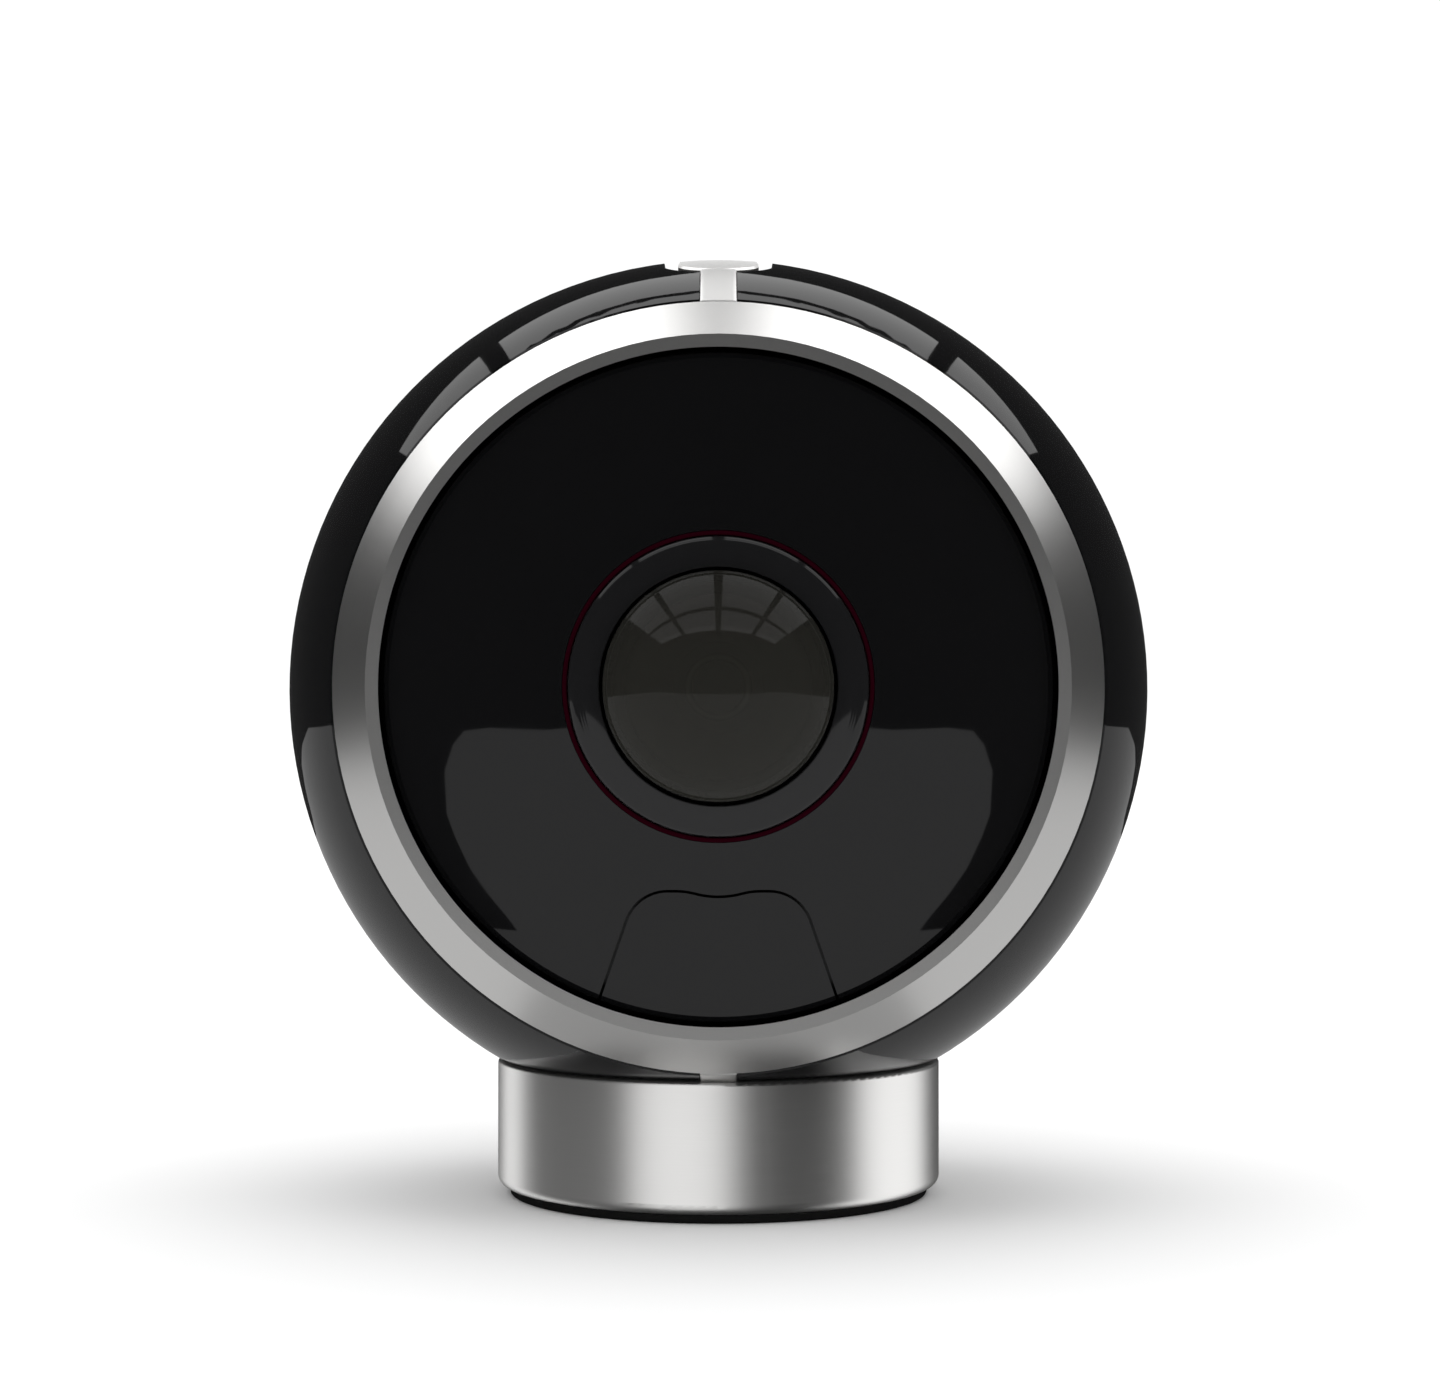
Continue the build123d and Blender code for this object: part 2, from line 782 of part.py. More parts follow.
with BuildPart() as port_board:
    with BuildSketch(front_face.offset(chassis_wall / 2)):
        with Locations((0, port_board_top - board_wall / 2)):
            Rectangle(port_board_width, board_wall)
    extrude(amount=skirt_end - free_gap - chassis_wall / 2)
save(port_board.part, "port_board")

# Chassis: a plate across the ball's middle, clamped between the legs of the two rings
chassis_radius = leg_circle + leg_radius + chassis_margin
main_board_bottom = board_side / 2 + standoff_inset / 2
board_screws_bottom = button_board_top - board_wall - screw_head_height
main_board_height = board_screws_bottom - board_screw_gap - ball_z - main_board_bottom
main_board_width = 2 * (leg_circle * math.sqrt(0.5) - leg_radius - board_leg_gap)
chip_side = main_board_height * chip_ratio
heat_sink_width = main_board_width * heat_sink_width_ratio
heat_sink_height = main_board_height * heat_sink_height_ratio
shield_width = main_board_width * shield_width_ratio
shield_height = main_board_height * shield_height_ratio
main_board_middle = main_board_bottom + main_board_height / 2
standoff_grid = GridLocations(
    main_board_width - 2 * standoff_inset,
    main_board_height - 2 * standoff_inset,
    2,
    2,
)
standoffs = [
    (spot.position.X, spot.position.Y + main_board_middle)
    for spot in standoff_grid
]
chassis_top = main_board_bottom + main_board_height
chassis_bottom = port_board_top - 2 * board_wall

with BuildPart() as chassis:
    with BuildSketch(front_face.offset(-chassis_wall / 2)):
        Circle(chassis_radius)
        with Locations((0, (chassis_top + chassis_bottom) / 2)):
            Rectangle(2 * chassis_radius, chassis_top - chassis_bottom, mode=Mode.INTERSECT)
        with Locations(*leg_places):
            Circle(body_screw_radius + fixed_fit, mode=Mode.SUBTRACT)
        Circle(inner_lens_radius, mode=Mode.SUBTRACT)
    extrude(amount=chassis_wall)
    for face in faces.values():
        with BuildSketch(face.offset(chassis_wall / 2)):
            with Locations(*lens_post_places):
                Circle(lens_post_radius)
        extrude(amount=lens_post_length)
        with BuildSketch(face.offset(chassis_wall / 2)):
            with Locations(*standoffs):
                Circle(standoff_radius)
        extrude(amount=standoff_length)
        with BuildSketch(face.offset(board_back)):
            with Locations(*lens_post_places):
                Circle(lens_screw_radius + fixed_fit)
        extrude(amount=-lens_screw_grip - fixed_fit, mode=Mode.SUBTRACT)
save(chassis.part, "chassis")

# Main board with its processor in front of the chassis, radio board with its shield behind it
main_board_back = chassis_wall / 2 + standoff_length
main_board_front = main_board_back + board_wall
raised_parts = {
    "front": ("main_board", chip_side, chip_side, chip_height),
    "rear": ("radio_board", shield_width, shield_height, shield_depth),
}
for side, (name, width, height, depth) in raised_parts.items():
    with BuildPart() as circuit:
        with BuildSketch(faces[side].offset(main_board_back)):
            with Locations((0, main_board_middle)):
                RectangleRounded(main_board_width, main_board_height, standoff_radius)
        extrude(amount=board_wall)
        with BuildSketch(faces[side].offset(main_board_front)):
            with Locations((0, main_board_middle)):
                Rectangle(width, height)
        extrude(amount=depth)
    save(circuit.part, name)

heat_sink_back = main_board_front + chip_height
fin_pitch = (heat_sink_width - heat_sink_fin) / (heat_sink_fins - 1)
with BuildPart() as heat_sink:
    with BuildSketch(front_face.offset(heat_sink_back)):
        with Locations((0, main_board_middle)):
            Rectangle(heat_sink_width, heat_sink_height)
    extrude(amount=heat_sink_base)
    with BuildSketch(front_face.offset(heat_sink_back + heat_sink_base)):
        with Locations((0, main_board_middle)):
            with GridLocations(fin_pitch, 1, heat_sink_fins, 1):
                Rectangle(heat_sink_fin, heat_sink_height)
    extrude(amount=heat_sink_fin_height)
save(heat_sink.part, "heat_sink")

body_screw_length = leg_top + chassis_wall / 2 + body_screw_grip
save(screw(rear_face.offset(leg_top), leg_places, body_screw_radius, body_screw_length), "body_screws")

# Swivel: a hollow spigot under the ball turns in a bush in the base and is kept by a clip
bush_radius = spigot_radius + running_fit + bush_wall
top_plate_under = base_top - base_wall
bush_bottom = top_plate_under - bush_flange_wall
circlip_top = bush_bottom - circlip_play
spigot_end = circlip_top - circlip_wall - spigot_tail
plate_top = foot_height + base_plate_wall
ballast_top = bush_bottom - ballast_gap
ballast_height = ballast_top - plate_top
nut_length = spigot_end - nut_gap - foot_height - nut_sink
base_inner = base_radius - base_wall

with BuildPart() as spigot:
    with BuildSketch(Plane.XY.offset(spigot_end)):
        Circle(spigot_radius)
    extrude(amount=floor_top - spigot_end)
    with BuildSketch(Plane.XY.offset(floor_top)):
        Circle(spigot_flange_radius)
        with Locations(*spigot_screw_places):
            Circle(spigot_screw_radius + fixed_fit, mode=Mode.SUBTRACT)
    extrude(amount=spigot_flange_wall)
    with BuildSketch(Plane.XY.offset(spigot_end)):
        Circle(spigot_bore)
    extrude(amount=ball_radius, mode=Mode.SUBTRACT)
    with BuildSketch(Plane.XY.offset(circlip_top)):
        Circle(spigot_radius)
        Circle(spigot_radius - circlip_bite, mode=Mode.SUBTRACT)
    extrude(amount=-circlip_wall, mode=Mode.SUBTRACT)
save(spigot.part, "swivel_spigot")

flange_top = Plane.XY.offset(floor_top + spigot_flange_wall)
spigot_screw_length = spigot_flange_wall + spigot_screw_grip
save(screw(flange_top, spigot_screw_places, spigot_screw_radius, spigot_screw_length), "spigot_screws")

with BuildPart() as circlip:
    with BuildSketch(Plane.XY.offset(circlip_top - fixed_fit)):
        Circle(spigot_radius + circlip_rim)
        Circle(spigot_radius - circlip_bite + fixed_fit, mode=Mode.SUBTRACT)
        Rectangle(
            spigot_radius,
            2 * spigot_radius,
            align=(Align.CENTER, Align.MIN),
            mode=Mode.SUBTRACT,
        )
    extrude(amount=-circlip_wall + 2 * fixed_fit)
save(circlip.part, "retaining_clip")

with BuildPart() as bush:
    with BuildSketch(Plane.XY.offset(bush_bottom)):
        Circle(bush_radius + bush_flange)
    extrude(amount=bush_flange_wall)
    with BuildSketch(Plane.XY.offset(bush_bottom)):
        Circle(bush_radius)
    extrude(amount=base_top - bush_bottom)
    with BuildSketch(Plane.XY.offset(bush_bottom)):
        Circle(spigot_radius + running_fit)
    extrude(amount=base_top - bush_bottom, mode=Mode.SUBTRACT)
save(bush.part, "swivel_bush")

washer_bore = bush_radius + washer_sink
with BuildPart() as washer:
    with BuildSketch(Plane.XY.offset(base_top - washer_sink)):
        Circle(washer_bore + washer_width)
        Circle(washer_bore, mode=Mode.SUBTRACT)
    extrude(amount=washer_height)
save(washer.part, "friction_washer")

# Base shell: a steel cup, open beneath, with the power inlet in its back
socket_board_bottom = plate_top + socket_board_sunk
socket_bottom = socket_board_bottom + board_wall
socket_z = socket_bottom + socket_height / 2
socket_mouth = base_radius - socket_sink
socket_rear = socket_mouth - socket_depth
base_screw_places = [
    (base_screw_circle * math.cos(math.radians(turn)), base_screw_circle * math.sin(math.radians(turn)))
    for turn in (30, 150, 270)
]
inlet_plane = Plane(origin=(0, 0, socket_z), x_dir=(-1, 0, 0), z_dir=(0, 1, 0))

with BuildPart() as base_shell:
    with BuildSketch(Plane.XY.offset(foot_height)):
        Circle(base_radius)
    extrude(amount=base_height)
    fillet(base_shell.edges().sort_by(Axis.Z)[0], base_fillet)
    fillet(base_shell.edges().filter_by(GeomType.CIRCLE).sort_by(Axis.Z)[-1], rim_fillet)
    with BuildSketch(Plane.XY.offset(foot_height)):
        Circle(base_inner)
    extrude(amount=base_height - base_wall, mode=Mode.SUBTRACT)
    with BuildSketch(Plane.XY.offset(ballast_top)):
        with Locations(*base_screw_places):
            Circle(base_post_radius)
    extrude(amount=top_plate_under - ballast_top)
    with BuildSketch(Plane.XY.offset(ballast_top)):
        with Locations(*base_screw_places):
            Circle(base_screw_radius + fixed_fit)
    extrude(amount=base_screw_grip + fixed_fit, mode=Mode.SUBTRACT)
    with BuildSketch(Plane.XY.offset(top_plate_under)):
        Circle(bush_radius + fixed_fit)
    extrude(amount=base_wall, mode=Mode.SUBTRACT)
    with BuildSketch(Plane.XY.offset(base_top)):
        Circle(washer_bore + washer_width + fixed_fit)
        Circle(washer_bore - fixed_fit, mode=Mode.SUBTRACT)
    extrude(amount=-washer_sink, mode=Mode.SUBTRACT)
    with BuildSketch(inlet_plane):
        SlotOverall(socket_width + 2 * port_margin, socket_height + 2 * port_margin)
    extrude(amount=base_radius, mode=Mode.SUBTRACT)
save(base_shell.part, "base_shell")

head_sunk = Plane(origin=(0, 0, foot_height + screw_head_height), x_dir=(1, 0, 0), z_dir=(0, 0, -1))
with BuildPart() as base_plate:
    with BuildSketch(Plane.XY.offset(foot_height)):
        Circle(base_inner - seam_fit)
        Circle(nut_radius + fixed_fit, mode=Mode.SUBTRACT)
        with Locations(*base_screw_places):
            Circle(base_screw_radius + fixed_fit, mode=Mode.SUBTRACT)
    extrude(amount=base_plate_wall)
    with BuildSketch(Plane.XY.offset(foot_height)):
        with Locations(*base_screw_places):
            Circle(base_screw_radius * screw_head_ratio + seam_fit)
    extrude(amount=screw_head_height, mode=Mode.SUBTRACT)
save(base_plate.part, "base_plate")

base_screw_flipped = [(x, -y) for x, y in base_screw_places]
base_screw_length = ballast_top + base_screw_grip - foot_height - screw_head_height
save(screw(head_sunk, base_screw_flipped, base_screw_radius, base_screw_length), "base_screws")

with BuildPart() as ballast:
    with BuildSketch(Plane.XY.offset(plate_top)):
        Circle(base_inner - free_gap)
        Circle(ballast_bore, mode=Mode.SUBTRACT)
        with Locations(*base_screw_places):
            Circle(base_screw_radius + fixed_fit, mode=Mode.SUBTRACT)
    extrude(amount=ballast_height)
    with BuildSketch(Plane.XY.offset(socket_board_bottom)):
        with Locations((0, socket_rear - free_gap)):
            Rectangle(
                socket_board_width + 2 * free_gap,
                base_radius,
                align=(Align.CENTER, Align.MIN),
            )
    extrude(amount=ballast_height, mode=Mode.SUBTRACT)
save(ballast.part, "ballast_ring")

with BuildPart() as socket_board:
    with BuildSketch(Plane.XY.offset(socket_board_bottom)):
        with Locations((0, socket_rear)):
            Rectangle(
                socket_board_width,
                math.sqrt((base_inner - free_gap) ** 2 - (socket_board_width / 2) ** 2) - socket_rear,
                align=(Align.CENTER, Align.MIN),
            )
    extrude(amount=board_wall)
save(socket_board.part, "socket_board")

with BuildPart() as power_socket:
    with BuildSketch(inlet_plane.offset(socket_rear)):
        SlotOverall(socket_width, socket_height)
    extrude(amount=socket_depth)
    with BuildSketch(inlet_plane.offset(socket_rear + 2 * socket_shell)):
        SlotOverall(socket_width - 2 * socket_shell, socket_height - 2 * socket_shell)
    extrude(amount=socket_depth, mode=Mode.SUBTRACT)
    with BuildSketch(inlet_plane.offset(socket_rear)):
        Rectangle(tongue_width, tongue_thick)
    extrude(amount=tongue_length + 2 * socket_shell)
save(power_socket.part, "power_socket")

with BuildPart() as tripod_nut:
    with BuildSketch(Plane.XY.offset(foot_height + nut_sink)):
        Circle(nut_radius)
    extrude(amount=nut_length)
    with BuildSketch(Plane.XY.offset(plate_top)):
        RegularPolygon(nut_radius + nut_flange, 6, major_radius=False)
    extrude(amount=nut_flange_wall)
    with BuildSketch(Plane.XY.offset(foot_height)):
        Circle(nut_thread_radius)
    extrude(amount=nut_length + base_height, mode=Mode.SUBTRACT)
save(tripod_nut.part, "tripod_nut")

with BuildPart() as foot_pad:
    with BuildSketch(Plane.XY):
        Circle(base_radius - foot_inset)
        Circle(foot_bore, mode=Mode.SUBTRACT)
    extrude(amount=foot_height)
save(foot_pad.part, "foot_pad")
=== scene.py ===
import math

import bpy
from bpy.props import FloatProperty, FloatVectorProperty, IntProperty, PointerProperty
from bpy.types import Operator, Panel, PropertyGroup
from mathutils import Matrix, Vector


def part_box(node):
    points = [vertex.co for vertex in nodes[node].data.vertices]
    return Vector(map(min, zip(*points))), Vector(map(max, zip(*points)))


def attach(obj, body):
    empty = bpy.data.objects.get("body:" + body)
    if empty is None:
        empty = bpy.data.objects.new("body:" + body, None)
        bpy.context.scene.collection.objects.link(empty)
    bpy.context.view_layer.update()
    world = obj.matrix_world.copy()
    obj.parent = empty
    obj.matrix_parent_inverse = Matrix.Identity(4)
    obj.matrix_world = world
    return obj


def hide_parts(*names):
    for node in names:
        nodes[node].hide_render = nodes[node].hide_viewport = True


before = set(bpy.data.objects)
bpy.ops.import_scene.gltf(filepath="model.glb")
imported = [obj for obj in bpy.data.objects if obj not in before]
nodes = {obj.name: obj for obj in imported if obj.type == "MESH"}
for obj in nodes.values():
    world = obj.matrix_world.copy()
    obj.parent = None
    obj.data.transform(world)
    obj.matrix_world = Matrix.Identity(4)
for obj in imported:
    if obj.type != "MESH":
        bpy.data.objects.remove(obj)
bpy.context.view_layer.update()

bl_info = {
    "name": "Ball camera",
    "version": (1, 0, 0),
    "blender": (4, 5, 0),
    "location": "3D View > Sidebar > Ball camera",
    "description": "Dresses a two-lens ball camera and sets it on a white studio floor",
    "category": "Object",
}

MM = 0.001
SIDES = ("front", "rear")

# Lengths that the boxes of the CAD nodes don't give
FOOT_BORE = 5.5 * MM
BEZEL_CURVE = 81.0 * MM
BEZEL_CENTRE = 48.66 * MM
BEZEL_FIT = 0.4 * MM

GLOSS_IOR = 1.5

# Modelling
TOUCH = 1e-6
CORNER_STEPS = 6
EDGE_SEGMENTS = 3
SHARP_ANGLE = math.radians(32)
SMOOTH_ANGLE = math.radians(28)

shell_low, shell_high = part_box("left_shell")
glass_low, glass_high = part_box("front_dome_glass")
ball_radius = -shell_low[0]
ball_middle = Vector((0.0, 0.0, glass_low[2] + glass_high[2])) / 2
ring_back = shell_high[1]
ring_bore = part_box("front_bezel")[1][0] + BEZEL_FIT


def size(name, description, default):
    """A length that a user would change, in metres."""
    return FloatProperty(
        name=name, description=description, default=default, unit="LENGTH", precision=5
    )


def share(name, description, default):
    """A plain factor."""
    return FloatProperty(
        name=name, description=description, default=default, subtype="FACTOR", precision=3
    )


def glow_level(name, description, default):
    """The brightness of a light."""
    return FloatProperty(name=name, description=description, default=default)


def colour(name, description, default):
    """A finish colour."""
    return FloatVectorProperty(
        name=name, description=description, default=default, subtype="COLOR", size=3
    )


class CameraFinishes(PropertyGroup):
    """Colours and roughness of the outside of the camera."""

    gloss_black: colour("Gloss black", "Shells, bezels and port cover", (0.0045, 0.0045, 0.0049))
    gloss_roughness: share("Gloss roughness", "Polish of the black plastic", 0.035)
    blasted_metal: colour("Blasted metal", "Rings, strips and top bar", (0.80, 0.795, 0.785))
    blasted_roughness: share("Blasted roughness", "Grain of the blasted metal", 0.34)
    brushed_steel: colour("Brushed steel", "Base shell", (0.78, 0.775, 0.765))
    brushed_roughness: share("Brushed roughness", "Fineness of the brushing", 0.42)
    collar_grey: colour("Collar grey", "Lens collars", (0.0105, 0.0105, 0.0112))
    accent_red: colour("Accent red", "Thin ring round each collar", (0.017, 0.0005, 0.0035))
    rubber: colour("Rubber", "Foot pad", (0.008, 0.008, 0.008))


class LensSizes(PropertyGroup):
    """Turned pieces of each lens; places come from the frame."""

    collar_bore: size("Collar bore", "Radius of the hole that the glass stands in", 10.55 * MM)
    collar_radius: size("Collar radius", "Radius of the collar's outside", 13.4 * MM)
    collar_tilt: share("Collar tilt", "Fall of the collar's face from its bore to its edge", 0.21)
    collar_round: size("Collar round", "Rounding of the collar's edge", 0.65 * MM)
    collar_flange: size("Collar flange", "Thickness of the flange behind the bezel", 1.5 * MM)
    groove_depth: size("Groove depth", "Depth of the fine turned grooves", 0.006 * MM)
    accent_wall: size("Accent wall", "Width of the red ring", 0.4 * MM)
    glass_bulge: size("Glass bulge", "Rise of the dome over its rim", 5.4 * MM)
    glass_wall: size("Glass wall", "Thickness of the glass", 1.7 * MM)
    edge_round: size("Edge round", "Rounding of small edges", 0.12 * MM)
    steps: IntProperty(name="Steps", description="Steps round each turned piece", default=192)


class TrimSizes(PropertyGroup):
    """Metal strips and the foot pad."""

    strip_depth: size("Strip depth", "Thickness of the metal strips", 1.0 * MM)
    strip_round: size("Strip round", "Rounding of the strips' edges", 0.14 * MM)
    foot_round: size("Foot round", "Rounding of the foot pad's edges", 0.25 * MM)
    groove_width: size("Foot groove width", "Width of the grip grooves under the foot", 0.8 * MM)
    groove_depth: size("Foot groove depth", "Depth of the grip grooves under the foot", 0.3 * MM)


class StudioSizes(PropertyGroup):
    """Camera, floor and softbox."""

    camera_distance: size("Camera distance", "From the ball's middle to the lens", 0.304)
    camera_drop: size("Camera drop", "How far the lens is below the ball's middle", 0.0025)
    camera_side: size("Camera side", "How far the lens is to the right", 0.00015)
    camera_pitch: FloatProperty(
        name="Camera pitch", description="Upward tilt", default=math.radians(0.3), subtype="ANGLE"
    )
    camera_lens: FloatProperty(name="Focal length", description="In millimetres", default=76.9)
    softbox_height: size("Softbox height", "Above the ball's middle", 0.6)
    softbox_glow: glow_level("Softbox glow", "Brightness of the panes", 0.9)
    floor_glow: glow_level("Floor glow", "Brightness of the floor in reflections", 0.52)
    surround_glow: glow_level("Surround glow", "Brightness of the dark room in reflections", 0.03)
    inside_glow: glow_level("Inside glow", "Light that reaches the lens barrels", 0.4)
    white_glow: glow_level("White glow", "Brightness of the white surround", 1.05)
    fill_glow: glow_level("Fill glow", "Light of the surround on matt surfaces", 0.6)
    floor_light: glow_level("Floor light", "Light from above on the floor", 0.95)


# Finishes


class Finish:
    """A node material under construction, with helpers that place and link its nodes."""

    def __init__(self, name):
        self.material = bpy.data.materials.new(name)
        self.material.use_nodes = True
        self.tree = self.material.node_tree
        self.shader = self.tree.nodes["Principled BSDF"]
        self.place = self.tree.nodes.new("ShaderNodeTexCoord").outputs["Object"]

    def constant(self, **sockets):
        """Sets plain numbers on the shader's own sockets."""
        for name, value in sockets.items():
            self.shader.inputs[name.replace("_", " ")].default_value = value

    def node(self, kind, **inputs):
        """Adds a node; its inputs are given by name, or by number as i0, i1 and so on."""
        made = self.tree.nodes.new(kind)
        for name, value in inputs.items():
            socket = made.inputs[int(name[1:]) if name[1:].isdigit() else name]
            if isinstance(value, bpy.types.NodeSocket):
                self.tree.links.new(value, socket)
            else:
                socket.default_value = value
        return made

    def math(self, operation, first, second=0.0):
        made = self.node("ShaderNodeMath", i0=first, i1=second)
        made.operation = operation
        return made.outputs[0]

    def noise(self, scale, detail=2.0, stretch=None):
        """A soft noise between 0 and 1, stretched along the axes where that is given."""
        place = self.place
        if stretch:
            place = self.node("ShaderNodeMapping", Vector=place, Scale=stretch).outputs[0]
        made = self.node("ShaderNodeTexNoise", Vector=place, Scale=scale, Detail=detail)
        return made.outputs["Fac"]

    def ramp(self, value, low, high):
        """Takes the middle half of a noise's range to one between low and high."""
        made = self.node("ShaderNodeMapRange", i0=value, i1=0.25, i2=0.75, i3=low, i4=high)
        return made.outputs[0]

    def blend(self, value, first, second):
        """Mixes two colours by a value."""
        made = self.tree.nodes.new("ShaderNodeMix")
        made.data_type = "RGBA"
        factor, first_colour, second_colour = made.inputs[0], made.inputs[6], made.inputs[7]
        self.tree.links.new(value, factor)
        for socket, tone in ((first_colour, first), (second_colour, second)):
            if isinstance(tone, bpy.types.NodeSocket):
                self.tree.links.new(tone, socket)
            else:
                socket.default_value = (*tone, 1.0)
        return made.outputs[2]

    def feed(self, **sockets):
        """Links values to the shader."""
        for name, value in sockets.items():
            self.tree.links.new(value, self.shader.inputs[name.replace("_", " ")])

    def bump(self, height, distance):
        made = self.node("ShaderNodeBump", Height=height, Distance=distance, Strength=1.0)
        self.feed(Normal=made.outputs[0])

    def axis(self, letter):
        """The place along one axis."""
        return self.node("ShaderNodeSeparateXYZ", Vector=self.place).outputs[letter]

    def lens_radius(self):
        """Distance from the axis of the lenses."""
        away = self.node("ShaderNodeVectorMath", i0=self.place, i1=tuple(-ball_middle))
        flat = self.node("ShaderNodeVectorMath", i0=away.outputs[0], i1=(1, 0, 1))
        flat.operation = "MULTIPLY"
        far = self.node("ShaderNodeVectorMath", i0=flat.outputs[0])
        far.operation = "LENGTH"
        return far.outputs["Value"]


def tones(base, spread):
    """Two colours either side of a base colour."""
    return tuple(c * (1 - spread) for c in base), tuple(min(1.0, c * (1 + spread)) for c in base)


def speckled(name, base, spread, scale, rough, rough_spread, metal=0.0, bump=0.0, **constants):
    """A finish with fine variation of colour and roughness, and a grain where bump is given."""
    finish = Finish(name)
    finish.constant(Metallic=metal, **constants)
    grain = finish.noise(scale, 3.0)
    finish.feed(
        Base_Color=finish.blend(grain, *tones(base, spread)),
        Roughness=finish.ramp(grain, rough - rough_spread, rough + rough_spread),
    )
    if bump:
        finish.bump(finish.noise(scale), bump)
    return finish.material


def gloss_black_finish(looks):
    """Polished black plastic with a trace of moulding haze, less polished in the cover's seam."""
    seam_roughness = 0.25
    finish = Finish("gloss_black")
    finish.constant(IOR=GLOSS_IOR)
    haze = finish.noise(180.0, 3.0)
    rough = looks.gloss_roughness
    polish = finish.ramp(haze, rough - 0.01, rough + 0.01)
    seam = finish.math("MULTIPLY", below_bezel_face(finish), seam_roughness)
    finish.feed(
        Base_Color=finish.blend(haze, *tones(looks.gloss_black, 0.08)),
        Roughness=finish.math("ADD", polish, seam),
    )
    return finish.material


def below_bezel_face(finish):
    """One where a point lies below the bezels' domed face, and nought elsewhere."""
    face_skin = 0.06 * MM
    out = finish.math("ABSOLUTE", finish.axis("Y"))
    from_axis = finish.math("POWER", finish.lens_radius(), 2.0)
    from_centre = finish.math("POWER", finish.math("ADD", out, BEZEL_CENTRE), 2.0)
    reach = finish.math("SQRT", finish.math("ADD", from_axis, from_centre))
    below = finish.math("LESS_THAN", reach, BEZEL_CURVE - face_skin)
    return finish.math("MULTIPLY", below, finish.math("GREATER_THAN", out, ring_back))


def blasted_metal_finish(looks):
    """Bead-blasted aluminium with a fine grain, with painted shade, near black, where the bezels
    sit in the rings' bores.
    """
    bore_skin = 0.02 * MM
    # Colour of the painted shade in the gap round each bezel
    painted_gap_shade = (0.004, 0.004, 0.004)
    finish = Finish("blasted_metal")
    finish.constant(Metallic=1.0)
    grain = finish.noise(5200.0, 3.0)
    # Painted shade: the bore and ledge round each bezel are coloured near black, standing for the
    # shadow in the gap.
    seat = finish.math("LESS_THAN", finish.lens_radius(), ring_bore + bore_skin)
    metal = finish.blend(grain, *tones(looks.blasted_metal, 0.02))
    rough = looks.blasted_roughness
    finish.feed(
        Base_Color=finish.blend(seat, metal, painted_gap_shade),
        Roughness=finish.ramp(grain, rough - 0.03, rough + 0.03),
    )
    finish.bump(finish.noise(6500.0), 0.004 * MM)
    return finish.material


def brushed_steel_finish(looks):
    """Steel brushed round the base, which draws each light out into an upright streak."""
    finish = Finish("brushed_steel")
    finish.constant(Metallic=1.0, Anisotropic=0.5, Anisotropic_Rotation=0.25)
    lines = finish.noise(1.0, stretch=(260.0, 260.0, 16000.0))
    rough = looks.brushed_roughness
    finish.feed(
        Base_Color=finish.blend(lines, *tones(looks.brushed_steel, 0.03)),
        Roughness=finish.ramp(lines, rough - 0.03, rough + 0.03),
    )
    around = finish.tree.nodes.new("ShaderNodeTangent")
    around.direction_type = "RADIAL"
    around.axis = "Z"
    finish.feed(Tangent=around.outputs[0])
    finish.bump(lines, 0.001 * MM)
    return finish.material


def collar_finish(looks):
    """Dark grey collar with a satin turned face."""
    finish = Finish("grey_collar")
    finish.constant(IOR=GLOSS_IOR)
    haze = finish.noise(900.0)
    finish.feed(
        Base_Color=finish.blend(haze, *tones(looks.collar_grey, 0.06)),
        Roughness=finish.ramp(haze, 0.05, 0.08),
    )
    return finish.material


def dome_glass_finish():
    """Smoked glass with a faint warm tint and a polished face."""
    finish = Finish("dome_glass")
    finish.constant(IOR=1.28, Transmission_Weight=0.8, Roughness=0.0)
    haze = finish.noise(60.0)
    finish.feed(Base_Color=finish.blend(haze, (0.089, 0.087, 0.074), (0.097, 0.095, 0.082)))
    return finish.material


def inner_glass_finish():
    """Coated inner lens: dark in the middle, with a pale ring painted round it as a reflection off
    the iris edge.
    """
    iris_radius, iris_half, iris_fade = 2.95 * MM, 0.12 * MM, 0.4 * MM
    finish = Finish("inner_glass")
    finish.constant(IOR=GLOSS_IOR, Coat_Weight=0.4, Coat_Roughness=0.02)
    edge = finish.math("ABSOLUTE", finish.math("SUBTRACT", finish.lens_radius(), iris_radius))
    # Painted reflection: a pale ring at the iris radius stands for light glinting off the iris
    # edge inside the lens.
    painted_iris_glint = finish.node("ShaderNodeMapRange", i0=edge, i1=iris_half, i2=iris_fade, i3=1.0, i4=0.0)
    finish.feed(
        Base_Color=finish.blend(painted_iris_glint.outputs[0], (0.010, 0.011, 0.014), (0.55, 0.54, 0.50)),
        Roughness=finish.ramp(finish.noise(400.0), 0.03, 0.06),
    )
    return finish.material


def barrel_finish():
    """Matt black barrel with fine baffle threads that stop stray light."""
    thread_pitch = 0.5 * MM
    finish = Finish("lens_black")
    turns = finish.math("MULTIPLY", finish.axis("Y"), 2 * math.pi / thread_pitch)
    threads = finish.math("SINE", turns)
    haze = finish.noise(700.0)
    finish.feed(
        Base_Color=finish.blend(haze, (0.006, 0.006, 0.0058), (0.010, 0.010, 0.0095)),
        Roughness=finish.ramp(haze, 0.55, 0.7),
    )
    finish.bump(threads, 0.01 * MM)
    return finish.material


